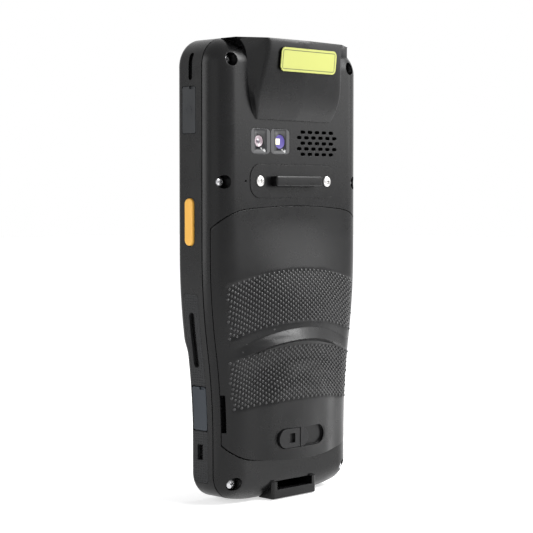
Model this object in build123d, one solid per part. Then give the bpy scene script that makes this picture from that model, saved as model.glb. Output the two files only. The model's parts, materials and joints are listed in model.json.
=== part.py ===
from build123d import *
import math
import os

# Portable barcode data terminal. Millimetres. +Z runs up the length of the body, +Y is the back
# (scan head and battery cover), -Y the front (display and keys), +X the user's right hand side
# when the display is faced. Inside the functions Y = 0 is the flat back plane of the rear shell and
# heights are measured from a datum a little above the foot; every piece is moved when it is
# written, so that the whole part is centred in Y and stands on Z = 0.

# --- driving dimensions: the body ---------------------------------------------------------------
length = 171.0             # top end above the datum that heights are measured from
foot_z = -1.0              # foot below that datum
half_top = 40.0            # half width of the display end
half_grip = 34.6           # half width of the keypad end
taper_drop = 79.0          # the sides start to draw in this far below the top end
taper_bottom = 22.0        # height where they run straight again
corner_top = 10.5
foot_half = 14.0           # half width of the flat foot
foot_rise = 11.0           # height of the rounded bottom corners
foot_corner = 9.8          # tighter of the two arcs that make each bottom corner
front_depth = 21.8         # front face below the back plane
front_step = 1.1           # the keypad end is this much thinner
split_depth = 8.2          # parting line of the two shells
back_round = 9.5           # edge radius of the back
front_round = 2.6
parting_gap = 0.35         # groove between the shells
parting_groove = 0.7
wall = 1.8
side_wall = 2.4            # side wall of the front shell
front_wall = 2.8           # front face to the inner cavity
top_wall = 3.0             # top end to the cavity of the rear shell
cavity_round = 7.0
cavity_start = 2.4         # cavity starts this far above the battery cover
seam = 0.3                 # gap between fitted covers
fit = 0.2                  # gap round inserts
glue = 0.1                 # glue line under windows and plates
merge = 0.1                # sunk into its neighbour by a part of the same moulding
far = 300.0                # cutting blocks reach this far past the body
past = 1.0                 # a hollowing slab runs this far past the layer it hollows
hair = 0.01                # keeps two faces that would meet exactly just apart
middle_band = 1.0          # an edge or corner nearer the middle plane than this lies on it
rim_reach = 0.6            # the front's rim lies within this of the keypad's face
outline_step = 1.5         # spacing of the points that distances to the side are measured from

# --- battery cover ------------------------------------------------------------------------------
cover_drop = 61.7          # top edge below the top end
cover_bottom = 14.0
cover_edge_depth = 4.8     # side edge below the back plane
cover_wall = 1.7
cover_inset_low = 0.4      # side edge in from the body's side, at the two ends
cover_inset_top = 0.6
cover_corner_top = 13.0
cover_corner_bottom = 12.0
cover_bow_low = 1.4        # rise of the arcs that end the cover
cover_bow_top = 1.3
cover_overlap = 2.7        # the sculpted form runs this far past the cover's ends
cover_form_sections = 64
bulge = 5.0                # crown over the back plane
bulge_drop = 3.3           # the crown starts this far below the cover's top edge
bulge_full = 70.0
crown_inset = 1.5          # crown ends this far inside the body's side
ridge_inset = 2.0          # and the ridge this far inside the crown
ridge_height = 2.3
ridge_z = 61.5
ridge_arch = 0.0062        # drop of the ridge per square millimetre of x
ridge_rise = 6.5           # width of the ridge's soft upper side
ridge_fall = 2.7           # width of its steep lower side
dish_depth = 1.5
dish_z = 51.0
dish_width = 7.0
ripple_height = 1.1
ripple_z = 45.0
ripple_radius = 20.0
ripple_rise = 2.4
ripple_fall = 5.0
notch_z = (26.0, 40.0)     # finger notch in the cover's side edge
notch_high = 1.5
notch_deep = 6.0
rib_places = (0.0, 20.0)   # ribs inside the cover, to the right of its middle
rib_thick = 1.2
rib_low = 36.0
rib_drop = 11.3            # ribs end this far below the cover's top edge
tab_x = 14.0
tab_size = (8.0, 1.4, 1.5)   # width, thickness and reach of the top hooks
tab_swing = 4              # room under the hooks as the cover tilts, in clearances
tab_root = 3.0
tab_room = 0.3

# --- latch --------------------------------------------------------------------------------------
latch_z = 22.2
latch_half = 12.8
latch_half_height = 3.75
latch_sink = 2.3           # depth of the finger pocket
latch_floor = 1.2          # thickness of the pocket's floor
latch_rim = 1.0            # moulded wall round the pocket
latch_slider_length = 15.5
latch_end_gap = 0.3
latch_travel = 5.5
latch_plate = 2.0
latch_recess = (3.2, 3.6, 1.1)   # length, height and depth of the finger recess
latch_recess_x = 1.0
latch_slit = 0.5
latch_slit_x = -3.35
latch_neck = (6.0, 2.8)
latch_flange = (11.0, 6.4, 1.0)
latch_play = 0.15
tongue_x = (-2.3, 4.2)
tongue_root = 0.6
hook_thick = 1.5
hook_reach = 3.5
hook_roof = 0.6
hook_root = 0.5            # the hook and the pocket's wall run this far into their neighbours

# --- battery bay --------------------------------------------------------------------------------
bay_margin = 5.1           # bay in from the body's side at the keypad end
bay_low = 20.0
bay_drop = 4.9             # bay ends this far below the cover's top edge
tub_wall = 1.4
tub_gap = 1.6              # tub to the main board
shelf_thick = 1.5
shelf_rim = 1.5            # width of the step that holds the cover's edge
pack_gap = 1.3
pack_play = 0.4
pack_end = 0.6             # pack to the contact end of the bay
pack_base = 0.2
pack_top = 2.4             # face of the battery pack below the back plane
pack_round = 5.0           # corner radius of the battery bay
pack_ease = 1.0
pack_sink = (3.5, 5.0, 0.25)   # margins and depth of the sunk face
pack_sink_round = 1.5
contact_half = 7.0
contact_height = 4.0
contact_below = 1.4        # contact block below the shelf
contact_pin = 0.5
contact_pitch = 2.6
contact_pins = 5
contact_pad = 0.3          # depth of the pack's contact pads
contact_skin = 0.2         # wall left outside the contact block
contact_root = 0.4
gasket_gap = 0.3
gasket_width = 0.7
gasket_thick = 0.8

# --- scan head ----------------------------------------------------------------------------------
hood_drop = 29.5           # the head leaves the back this far below the top end
hood_half = 22.5
hood_ridge_share = 0.9     # rounding of the ridge, as a share of the crest's half width
hood_peak = 7.6
head_half = 15.0           # room for the scan engine inside the hood
head_top = 3.2
head_start = 12.0          # the room starts this far above the foot of the hood
head_gap = 1.4             # wall between the room and the scan window
label_x = -0.8
label_drop = 7.4
label_size = (30.0, 8.8)
label_round = 2.0
label_thick = 0.3
label_tilt = 6.0
label_sink = 0.7
label_rim = 0.5
scan_window_half = 16.0
scan_window_top = 3.6
scan_window_thick = 1.4
scan_window_round = 2.0
scan_window_lip = 1.0      # ledge that the window is glued to
scan_window_way = 4.0
engine_half = 11.0
engine_height = 9.0
engine_length = 11.0
engine_gap = 1.0
engine_play = 0.3
engine_lens = (-4.0, 3.0)  # place and radius of the lens and of the aiming light
engine_aim = (6.0, 1.6)
engine_bore = 1.6

# --- screws and strap ---------------------------------------------------------------------------
screw_top_in = 7.9         # screws in from the body's side
screw_mid_in = 4.8
screw_low_in = 5.1
screw_top_drop = 8.1       # and below the top end
screw_mid_drop = 52.7
screw_low_z = 6.9
well_radius = 2.5
well_floor = 4.8           # depth of the screw seats below the back plane
boss_radius = 3.3
boss_gap = 0.4
front_boss_radius = 2.7
screw_head_radius = 2.2
screw_head_height = 1.5
screw_shank_radius = 0.95
screw_length = 9.0
screw_play = 0.15
head_ease = 0.5

strap_drop = 52.3
strap_half = 23.3
strap_half_height = 6.2
strap_thick = 0.9
strap_round = 5.0
strap_proud = 0.2
strap_bar_half = 12.4
strap_bar_height = 3.9
strap_bar_rise = 3.2
strap_bar_thick = 1.4
strap_bar_foot = 2.2
strap_bar_round = 0.8
strap_bar_ease = 0.6
strap_screw_x = 18.23
strap_screw_radius = 2.0
strap_screw_head = 0.8
strap_shank = 0.95
mic_x = 25.5
mic_radius = 0.45

bar_half = 12.0            # lower strap bar
bar_round = 1.2
bar_ease = 0.5
bar_back = 0.7
bar_thick = 2.9
bar_height = 2.5
bar_slot_half = 9.6
bar_slot_depth = 4.6
bar_slot_top = 5.6

# --- camera, flash and loudspeaker --------------------------------------------------------------
window_drop = 37.55
window_height = 9.3
camera_x = 17.75
camera_width = 10.1
flash_x = 7.4
flash_width = 10.1
lens_x = 18.5
led_x = 8.6
window_thick = 0.8
window_round = 1.6
lens_way = 3.4             # radius of the way through the wall behind each window
module_radius = 3.1
module_play = 0.15
camera_height = 4.2
camera_lens = (1.5, 0.8)   # radius and depth of the lens recess
led_height = 2.2
led_sink = 0.6
led_chip = 1.2

grille_x = -12.9
grille_drop = 37.8
grille_half = 11.4
grille_half_height = 6.2
grille_thick = 0.5
grille_round = 2.0
grille_hole = (2.6, 1.3)
grille_pitch = (3.95, 2.1)
grille_rows = 5
grille_columns = 5         # holes in an outer row; the rows between have one more
speaker_edge = 1.5         # loudspeaker in from the mesh's edge
speaker_height = 4.0
speaker_rim = 2.0
speaker_sink = 0.6

# --- display end --------------------------------------------------------------------------------
glass_margin = 6.5         # glass in from the body's side
glass_low = 63.5
glass_drop = 11.0
glass_thick = 1.3
glass_round = 3.5
view_margin = (7.0, 5.0, 6.0)   # display in from the glass at the sides, below and above
view_round = 1.2
display_thick = 2.2
step_start = 2.0           # the front's step starts and ends this far below the glass
step_end = 10.0
ear_drop = 5.8
ear_size = (15.0, 1.8)
ear_thick = 0.8
ear_lip = (0.5, 0.3)       # ledge that the earpiece mesh is glued to

# --- main board ---------------------------------------------------------------------------------
board_room = 1.5           # display to the board
board_thick = 1.1
board_gap = 1.2            # board and keypad mat in from the side wall
board_low = 8.0
board_drop = 10.5
board_round = 3.0
board_slack = 0.6          # cut-outs round the connectors
can_size = (30.0, 24.0)
can_round = 1.2
can_drop = 33.0
can_height = 2.4
chip_sizes = ((-18.0, 16.0), (16.0, 12.0))   # place across and width of each chip
chip_high = 12.0
chip_round = 0.2
chip_drop = 55.0
chip_height = 1.2
switch_play = 0.28         # switch to the flange of its key, when the key is pressed
switch_size = (2.2, 2.6, 5.0)
switch_land = 6.0
switch_root = 2.0

# --- keypad -------------------------------------------------------------------------------------
key_margin = 5.15          # outer keys in from the body's side
key_size = (12.4, 7.0)
key_step = 9.6             # height from row to row
key_first = 12.6
key_columns = 4
key_rows = 4
key_round = 2.2
key_gap = 0.22
key_proud = 0.9
key_travel = 0.6
key_slack = 0.25
key_ease = 0.5
mat_thick = 1.2
mat_round = 3.0
mat_border = (2.0, 2.6)    # mat past the keys, below and above
soft_key_margin = 4.4
soft_key_size = (15.6, 7.8)
soft_key_gap = 3.85        # soft key to the scan key between them
soft_key_z = 53.0
scan_key_height = 9.0

# --- side keys, doors and grips -----------------------------------------------------------------
side_key_drop = 67.4
side_key_length = 17.4
side_key_width = 4.6
side_key_shift = 0.4       # side keys behind the middle of the side band
side_key_proud = 0.8
side_key_travel = 0.5
side_key_ease = 0.7
side_flange = (1.0, 0.7, 0.8)   # thickness, and reach past the key across and along
small_key_length = 9.0
rocker_length = 20.0
rocker_flange = 0.6        # share of the rocker's length that its flange takes
power_drop = 43.0
rocker_drop = 25.0
rocker_tilt = 2.5
rocker_slack = 0.24

door_drop = 26.35          # middle of the audio door below the top end
door_size = (7.0, 17.1)
port_door_middle = 34.3
port_door_size = (7.1, 16.2)
door_thick = 1.2
door_gap = 0.2
door_play = 0.15
door_round = 0.8
door_notch = (2.4, 0.9)    # nail notch: width and height
door_notch_in = 0.8

grip_shift = 0.2           # grips and port door behind the middle of the side band
grip_z = (6.5, 77.0)
grip_width = 7.6
grip_round = 1.5
grip_thick = 1.0
grip_slot_z = (49.6, 70.3)
grip_slot_width = 2.8
grip_slot_depth = 1.4
grip_slot_share = 0.6      # share of the slot's depth that lies in the wall behind the grip
lanyard_z = (15.0, 21.0)
lanyard_width = 3.0
lanyard_round = 0.4
slit_drop = (15.5, 5.5)
slit_shift = 0.8
slit_width = 2.0
side_cut_start = 15.0      # cuts through one side wall start this far from the middle

jack_bore = 1.8
jack_outer = 3.0
jack_in = 2.6              # mouth of the headset socket in from the side
jack_length = 12.4
jack_deep = 11.0
jack_way = 0.5
jack_reach = 6.0
usb_in = 1.6
usb_length = 5.0
usb_shift = 0.1            # middle of the port below the board's rear face
usb_size = (8.9, 3.2)
usb_skin = 0.3
usb_back = 0.8
usb_tongue = (0.7, 6.4)
usb_room = 0.95            # room round the connector in the board and the mat


# --- places worked out from them ----------------------------------------------------------------
def span(middle, size):
    """The two ends of a stretch with a middle and a size."""
    return middle - size / 2, middle + size / 2


mirror_x = (1, -1)
frame_shift = (front_depth - hood_peak) / 2
taper_top = length - taper_drop
cover_top = length - cover_drop
cover_form_z = (cover_bottom - cover_overlap - merge, cover_top + cover_overlap)
bulge_top = cover_top - bulge_drop
rib_z = (rib_low, cover_top - rib_drop)
hood_base = length - hood_drop
label_z = length - label_drop
strap_z = length - strap_drop
window_z = length - window_drop
grille_z = length - grille_drop
screw_top = (half_top - screw_top_in, length - screw_top_drop)
screw_mid = (half_top - screw_mid_in, length - screw_mid_drop)
screw_low = (half_grip - screw_low_in, screw_low_z)
side_middle = -(split_depth + front_depth) / 2     # depth of the middle of the side band

glass_half = half_top - glass_margin
glass_z = (glass_low, length - glass_drop)
view_half = glass_half - view_margin[0]
view_z = (glass_z[0] + view_margin[1], glass_z[1] - view_margin[2])
ear_z = length - ear_drop
board_depth = front_depth - glass_thick - glue - display_thick - board_room - board_thick
board_half = half_grip - side_wall - board_gap
board_z = (board_low, length - board_drop)
can_z = length - can_drop
chip_z = length - chip_drop

shelf_y = -cover_edge_depth - seam
hook_z = (cover_bottom + cover_wall + 2 * seam, latch_z - latch_half_height - latch_rim - seam)
tongue_z = (hook_z[0] - fit, latch_z - latch_flange[1] / 2 + tongue_root)
bay_half = half_grip - bay_margin
bay_z = (bay_low, cover_top - bay_drop)
bay_floor = board_depth - tub_gap - tub_wall
contact_y = (shelf_y - contact_below - contact_height, shelf_y - contact_below)
scan_window_y = (fit - split_depth, scan_window_top)

key_pitch = (2 * (half_grip - key_margin) - key_size[0]) / (key_columns - 1)
soft_key_x = half_grip - soft_key_margin - soft_key_size[0] / 2
scan_key_size = (2 * (soft_key_x - soft_key_size[0] / 2 - soft_key_gap), scan_key_height)
side_key_y = span(side_middle + side_key_shift, side_key_width)
side_key_z = length - side_key_drop
switch_gap = key_gap + side_flange[0] + side_key_travel + switch_play
rocker_play = rocker_length * rocker_flange / 2 * math.sin(math.radians(rocker_tilt)) + rocker_slack
power_z = length - power_drop
rocker_z = length - rocker_drop
door_y = span(side_middle, door_size[0])
door_z = span(length - door_drop, door_size[1])
port_door_y = span(side_middle + grip_shift, port_door_size[0])
port_door_z = span(port_door_middle, port_door_size[1])
grip_y = span(side_middle + grip_shift, grip_width)
grip_slot_y = span(side_middle, grip_slot_width)
lanyard_y = span(side_middle, lanyard_width)
side_slit_y = span(side_middle + slit_shift, slit_width)
side_slit_z = (length - slit_drop[0], length - slit_drop[1])
jack_x = (half_top - jack_in - jack_length, half_top - jack_in)
jack_y = side_middle
jack_z = length - door_drop
usb_x = (half_grip - usb_in - usb_length, half_grip - usb_in)
usb_y = span(-board_depth - usb_shift, usb_size[1])
usb_z = span(port_door_middle, usb_size[0])


# --- shared shapes ------------------------------------------------------------------------------
def slab(sketch, y_low, y_high):
    """A sketch drawn in X and Z, made solid between two depths."""
    return extrude(Plane.XZ.offset(-y_high) * sketch, y_high - y_low)


def slab_x(sketch, x_low, x_high):
    """A sketch drawn in Y and Z, made solid between two places along X."""
    return extrude(Plane.YZ.offset(x_low) * sketch, x_high - x_low)


def rounded(width, height, radius, x=0.0, z=0.0):
    return Pos(x, z) * RectangleRounded(width, height, radius)


def block(x_range, y_range, z_range):
    """A plain box given by its corners."""
    size = [high - low for low, high in (x_range, y_range, z_range)]
    middle = [(high + low) / 2 for low, high in (x_range, y_range, z_range)]
    return Pos(*middle) * Box(*size)


def post(x, z, radius, y_low, y_high):
    """A round post along Y."""
    return slab(Pos(x, z) * Circle(radius), y_low, y_high)


def joined(pieces):
    """Several solids as one."""
    whole = pieces[0]
    for piece in pieces[1:]:
        whole = whole + piece
    return whole


def side_half(z, inset=0.0):
    """Half width of the body at a height, leaving the end corners out."""
    mid = (taper_top + taper_bottom) / 2
    if z >= taper_top:
        return half_top - inset
    if z <= taper_bottom:
        return half_grip - inset
    rise = (taper_top - taper_bottom) / 2
    step = (half_top - half_grip) / 2
    bend = (rise ** 2 + step ** 2) / (2 * step)
    if z > mid:
        return half_top - bend + math.sqrt(bend ** 2 - (taper_top - z) ** 2) - inset
    return half_grip + bend - math.sqrt(bend ** 2 - (z - taper_bottom) ** 2) - inset


def foot_arcs():
    """Wide arc's radius and the angle turned on the tighter arc of a bottom corner."""
    across = half_grip - foot_half - foot_corner
    wide = (across ** 2 + foot_rise ** 2 - foot_corner ** 2) / (2 * (foot_rise - foot_corner))
    return wide, math.acos(across / (wide - foot_corner))


def foot_point(angle, inset=0.0):
    """A point of the bottom corner, for the angle of its normal below the horizontal."""
    wide, turn = foot_arcs()
    if angle <= turn:
        centre, radius = (half_grip - foot_corner, foot_z + foot_rise), foot_corner - inset
    else:
        centre, radius = (foot_half, foot_z + wide), wide - inset
    return centre[0] + radius * math.cos(angle), centre[1] - radius * math.sin(angle)


def half_outline(inset=0.0):
    """The right half of the body's outline as edges, from the foot to the top."""
    low_side = half_grip - inset
    top_side = half_top - inset
    mid = (taper_top + taper_bottom) / 2
    corner = corner_top - inset
    top = length - inset
    turn = foot_arcs()[1]
    quarter_low = (taper_bottom + mid) / 2
    quarter_top = (taper_top + mid) / 2
    bend = corner * (1 - math.sqrt(0.5))
    foot, joint, side = [foot_point(a, inset) for a in (math.pi / 2, turn, 0.0)]
    return [
        Line((0, foot_z + inset), foot),
        ThreePointArc(foot, foot_point((math.pi / 2 + turn) / 2 + 1e-9, inset), joint),
        ThreePointArc(joint, foot_point(turn / 2, inset), side),
        Line(side, (low_side, taper_bottom)),
        ThreePointArc((low_side, taper_bottom), (side_half(quarter_low, inset), quarter_low),
                      (side_half(mid, inset), mid)),
        ThreePointArc((side_half(mid, inset), mid), (side_half(quarter_top, inset), quarter_top),
                      (top_side, taper_top)),
        Line((top_side, taper_top), (top_side, top - corner)),
        ThreePointArc((top_side, top - corner), (top_side - bend, top - bend),
                      (top_side - corner, top)),
        Line((top_side - corner, top), (0, top)),
    ]


def outline(inset=0.0):
    """The body's outline as a face, drawn in with a wall where one is given."""
    right = half_outline(inset)
    left = [mirror(edge, Plane.YZ) for edge in right]
    return make_face(Curve() + right + left)


def outline_points():
    """Points along the right half of the outline below the display, to measure distances to it."""
    steps = 24
    points = [(0.0, foot_z)]
    points += [foot_point(math.pi / 2 * (1 - i / steps)) for i in range(steps + 1)]
    rises = math.ceil((cover_form_z[1] + back_round - foot_rise) / outline_step)
    heights = [foot_rise + i * outline_step for i in range(rises + 1)]
    return points + [(side_half(z), z) for z in heights]


def edge_distance(x, z, points):
    """Distance from a point inside the body to the outline."""
    best = half_top
    for (x0, z0), (x1, z1) in zip(points, points[1:]):
        dx, dz = x1 - x0, z1 - z0
        t = ((x - x0) * dx + (z - z0) * dz) / (dx * dx + dz * dz)
        t = min(1.0, max(0.0, t))
        best = min(best, math.hypot(x - x0 - t * dx, z - z0 - t * dz))
    return best


def smooth(t):
    t = min(1.0, max(0.0, t))
    return t * t * (3 - 2 * t)


def edge_drop(distance):
    """How far the rounded edge lies below the back: a quarter circle."""
    inward = min(back_round, max(0.0, distance))
    return back_round - math.sqrt(back_round ** 2 - (back_round - inward) ** 2)


def grip_form(x, z):
    """Height of the sculpted grip over the plain back: crown, arched ridge, dish and ripple."""
    reach = side_half(z) - crown_inset
    if abs(x) >= reach:
        return 0.0
    crown = (1 - (x / reach) ** 2) ** 2
    rise = smooth((bulge_top - z) / (bulge_top - bulge_full))
    height = bulge * rise * crown
    across = max(0.0, 1 - (x / (reach - ridge_inset)) ** 2) ** 1.2
    over = z - (ridge_z - ridge_arch * x * x)
    width = ridge_rise if over > 0 else ridge_fall
    height += ridge_height * across * math.exp(-(over / width) ** 2)
    below = z - (dish_z - ridge_arch * x * x)
    height -= dish_depth * across * math.exp(-(below / dish_width) ** 2)
    ring = math.hypot(x, z - ripple_z + ripple_radius) - ripple_radius
    width = ripple_rise if ring > 0 else ripple_fall
    height += ripple_height * max(0.0, 1 - (x / ripple_radius) ** 2) * math.exp(-(ring / width) ** 2)
    return height


def inward_steps():
    """Places across half a section, from the side: close on the rounded edge, then wider."""
    arc = [back_round * (1 - math.cos(math.radians(a))) for a in range(0, 91, 13)]
    flat = half_top - back_round
    return arc + [back_round + flat * share for share in (0.1, 0.24, 0.4, 0.58, 0.78)]


def section_values():
    """The spline's parameter at each point, the same in every section."""
    steps = inward_steps() + [half_top]
    line = [(d, edge_drop(d)) for d in steps]
    run = [0.0]
    for a, b in zip(line, line[1:]):
        run.append(run[-1] + math.dist(a, b))
    return [1 - r / run[-1] for r in reversed(run)]


def cover_section(z, points):
    """Half of one cross section of the grip: crown, rounded edge and side."""
    half = side_half(z)
    scale = half / half_top
    xs = [0.0] + [half - d * scale for d in reversed(inward_steps())]
    line = [(x, grip_form(x, z) - edge_drop(edge_distance(x, z, points)), z) for x in xs]
    line[-1] = (half, -back_round, z)
    low = -split_depth - 2 * wall
    edges = [
        Edge.make_spline(line, tangents=[(1, 0, 0), (0, -1, 0)], parameters=section_values()),
        Line(line[-1], (half, low, z)),
        Line((half, low, z), (0, low, z)),
        Line((0, low, z), line[0]),
    ]
    return Wire(edges)


def cover_form():
    """Half of the sculpted grip as a smooth solid, a little longer than the cover at both ends."""
    points = outline_points()
    low, high = cover_form_z
    step = (high - low) / (cover_form_sections - 1)
    return Solid.make_loft([cover_section(low + i * step, points) for i in range(cover_form_sections)])


def back_form():
    """The plain back: the outline with its rounded edge, down past the parting line."""
    body = slab(outline(), -split_depth - 2 * wall, 0)
    return fillet(body.faces().sort_by(Axis.Y)[-1].edges(), back_round)


def cover_corner(side, edge, reach, way):
    """Soft corner of the cover, from the arc at its end to its side, as one smooth curve."""
    return Bezier((side - reach, edge), (side - 0.38 * reach, edge + 0.09 * reach * way),
                  (side - 0.06 * reach, edge + 0.37 * reach * way), (side, edge + 0.75 * reach * way))


def cover_zone(grow, y_low, y_high):
    """The cover's footprint as a solid: a wide band with rounded corners near the sides."""
    low, top = cover_bottom - grow, cover_top + grow
    low_side = half_grip - cover_inset_low + grow
    top_side = half_top - cover_inset_top + grow
    low_edge, top_edge = low + cover_bow_low, top - cover_bow_top
    low_corner = cover_corner(low_side, low_edge, cover_corner_bottom, 1)
    top_corner = cover_corner(top_side, top_edge, cover_corner_top, -1)
    outer_low = (half_top + back_round, low_edge + cover_corner_bottom)
    outer_top = (half_top + back_round, top_edge - cover_corner_top)
    right = [
        low_corner,
        Line(low_corner @ 1, outer_low),
        Line(outer_low, outer_top),
        Line(outer_top, top_corner @ 1),
        top_corner,
    ]
    left = [mirror(edge, Plane.YZ) for edge in right]
    ends = [
        ThreePointArc((cover_corner_bottom - low_side, low_edge), (0, low), low_corner @ 0),
        ThreePointArc((cover_corner_top - top_side, top_edge), (0, top), top_corner @ 0),
    ]
    return slab(make_face(Curve() + right + left + ends), y_low, y_high)


# --- rear shell ---------------------------------------------------------------------------------
def hood_section(z, base, crest, edge_height, peak, turn):
    """One cross section of the scan head: sloping walls and a lightly crowned face."""
    low = -split_depth
    line = Polyline((-base, low), (-base, 0), (-crest, edge_height), (0, peak), (crest, edge_height),
                    (base, 0), (base, low), close=True)
    face = make_face(line)
    crests = [v for v in face.vertices() if v.Y > hair and abs(v.X) > middle_band]
    face = fillet(crests, turn)
    ridge = [v for v in face.vertices() if abs(v.X) < hair]
    return Pos(0, 0, z) * fillet(ridge, crest * hood_ridge_share)


def scan_hood():
    """The scan head: a hood that rises from the back to the top end and flares at the lip."""
    rise = length - hood_base
    steps = [
        (0.0, 0.90, 0.89, 0.06, 0.10, 0.15),
        (0.08, 0.96, 0.93, 0.20, 0.30, 0.6),
        (0.26, 1.03, 0.99, 0.42, 0.54, 1.6),
        (0.52, 1.09, 0.96, 0.63, 0.79, 2.6),
        (0.76, 1.11, 0.90, 0.78, 0.94, 3.0),
        (0.90, 1.17, 0.88, 0.84, 1.0, 3.0),
        (1.0, 1.36, 0.89, 0.83, 0.98, 2.6),
    ]
    faces = []
    for up, base, crest, edge_height, peak, turn in steps:
        faces.append(hood_section(hood_base + rise * up, hood_half * base, hood_half * crest,
                                  hood_peak * edge_height, hood_peak * peak, turn))
    return loft(Sketch() + faces)


def screw_places():
    return [(side * x, z) for x, z in (screw_top, screw_mid, screw_low) for side in mirror_x]


def label_plane():
    """Plane of the sticker: on the hood, leaning back a little, its normal outwards."""
    return Plane(origin=(label_x, hood_peak - label_sink, label_z), x_dir=(-1, 0, 0),
                 z_dir=(0, math.cos(math.radians(label_tilt)), -math.sin(math.radians(label_tilt))))


def bay_tub():
    """The open box that the battery lies in, below the shelf of the rear shell."""
    middle = (bay_z[0] + bay_z[1]) / 2
    high = bay_z[1] - bay_z[0]
    outer = rounded(2 * (bay_half + tub_wall), high + 2 * tub_wall, pack_round + tub_wall, 0, middle)
    return slab(outer, -bay_floor - tub_wall, shelf_y - hair)


def bay_room():
    middle = (bay_z[0] + bay_z[1]) / 2
    inner = rounded(2 * bay_half, bay_z[1] - bay_z[0], pack_round, 0, middle)
    return slab(inner, -bay_floor, far)


def latch_levels():
    """Depths of the latch: cover face, pocket floor, top and underside of the inner flange."""
    face = grip_form(0.0, latch_z)
    floor = face - latch_sink
    flange_top = floor - latch_floor - latch_play
    return face, floor, flange_top, flange_top - latch_flange[2]


def latch_hook():
    """Hook on the shelf that the latch's tongue slides under."""
    flange_top = latch_levels()[2]
    left = tongue_x[0] - latch_travel - fit - hook_thick
    roof_low = flange_top + fit
    roof_high = roof_low + hook_roof
    upright = block((left, left + hook_thick), (shelf_y - hook_root, roof_high), hook_z)
    roof = block((left, left + hook_thick + hook_reach), (roof_low, roof_high), hook_z)
    return upright + roof


def strap_slot():
    """The way of the hand strap behind the lower bar: in at the back, out at the foot."""
    way = block((-bar_slot_half, bar_slot_half), (bar_back - bar_thick - bar_slot_depth, far),
                (foot_z - far, bar_slot_top))
    keep = block((-bar_half, bar_half), (bar_back - bar_thick, bar_back + merge), (foot_z, bar_height))
    return way - keep


def lower_bar():
    """The block that carries the lower strap bar, with its two cheeks and softened corners."""
    deep = bar_back - bar_thick - bar_slot_depth
    body = block((-bar_half, bar_half), (deep, bar_back), (foot_z, bar_slot_top))
    corners = body.edges().filter_by(Axis.Z).group_by(Axis.Y)[-1]
    body = fillet(corners, bar_round)
    return fillet(body.faces().sort_by(Axis.Z)[0].edges().group_by(Axis.Y)[-1], bar_ease)


def window_seats():
    """Shallow seats of the camera and flash windows with the ways through the wall."""
    cuts = []
    for x, width, way_x in ((camera_x, camera_width, lens_x), (flash_x, flash_width, led_x)):
        cuts.append(slab(rounded(width + fit, window_height + fit, window_round, x, window_z),
                         -window_thick - glue, bulge))
        cuts.append(post(way_x, window_z, lens_way, -split_depth, 0))
    return joined(cuts)


def grille_holes():
    """Staggered rows of round-ended holes through the wall, in front of the loudspeaker."""
    holes = Sketch()
    for row in range(grille_rows):
        count = grille_columns + row % 2
        z = grille_z + (row - (grille_rows - 1) / 2) * grille_pitch[1]
        for column in range(count):
            x = grille_x + (column - (count - 1) / 2) * grille_pitch[0]
            holes += Pos(x, z) * SlotOverall(*grille_hole)
    return slab(holes, -2 * wall, wall)


def strap_seat():
    sketch = rounded(2 * strap_half + fit, 2 * strap_half_height + fit, strap_round, 0, strap_z)
    cuts = [slab(sketch, -strap_thick + strap_proud - glue, bulge)]
    for side in mirror_x:
        cuts.append(post(side * strap_screw_x, strap_z, strap_shank + fit / 2, -2 * wall, 0))
    return joined(cuts)


def label_seat():
    sketch = RectangleRounded(label_size[0] + 2 * label_rim, label_size[1] + 2 * label_rim,
                              label_round + label_rim)
    return extrude(label_plane() * sketch, hood_peak)


def scan_window_sketch(z, inset):
    """The scan window's outline at a height, drawn in by a ledge or let out by a gap."""
    deep = scan_window_y[1] - scan_window_y[0] - 2 * inset
    return Plane.XY.offset(z) * (Pos(0, sum(scan_window_y) / 2) * RectangleRounded(
        2 * (scan_window_half - inset), deep, scan_window_round - inset / 2))


def scan_window_seat():
    """Seat of the scan window in the top end, with the light's way below it."""
    seat = scan_window_sketch(length - scan_window_thick - glue, -fit / 2)
    way = scan_window_sketch(length - scan_window_thick - scan_window_way, scan_window_lip)
    return extrude(seat, 2 * scan_window_thick) + extrude(way, scan_window_way + merge)


def tab_blocks(grow):
    """The two hooks at the top edge of the cover, or the room for them."""
    width, thick, reach = tab_size
    low, high = merge - cover_wall - thick - tab_swing * grow, merge - cover_wall + grow
    z_range = (cover_top - tab_root, cover_top + reach + 2 * grow)
    hooks = []
    for side in mirror_x:
        hooks.append(block(span(side * tab_x, width + 2 * grow), (low, high), z_range))
    return joined(hooks)


def contact_seat(grow=0.0):
    """Place of the battery contacts in the top wall of the tub."""
    return block((-contact_half - grow, contact_half + grow), (contact_y[0] - grow, contact_y[1] + grow),
                 (bay_z[1] - grow, bay_z[1] + tub_wall - contact_skin + grow))


def parting_cut():
    """Shadow groove round the body where the two shells meet."""
    ring = outline(-1) - outline(parting_groove)
    return slab(ring, -split_depth - parting_gap / 2, -split_depth + parting_gap / 2)


def rear_cavity():
    """The room behind the wall above the battery bay."""
    low, high = cover_top + cavity_start, length - top_wall
    half = screw_mid[0] - boss_radius - boss_gap
    return slab(rounded(2 * half, high - low, cavity_round, 0, (low + high) / 2), -far, -wall)


def head_room():
    """The room for the scan engine inside the hood."""
    return block((-head_half, head_half), (-2 * wall, head_top),
                 (hood_base + head_start, length - scan_window_thick - head_gap))


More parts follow.
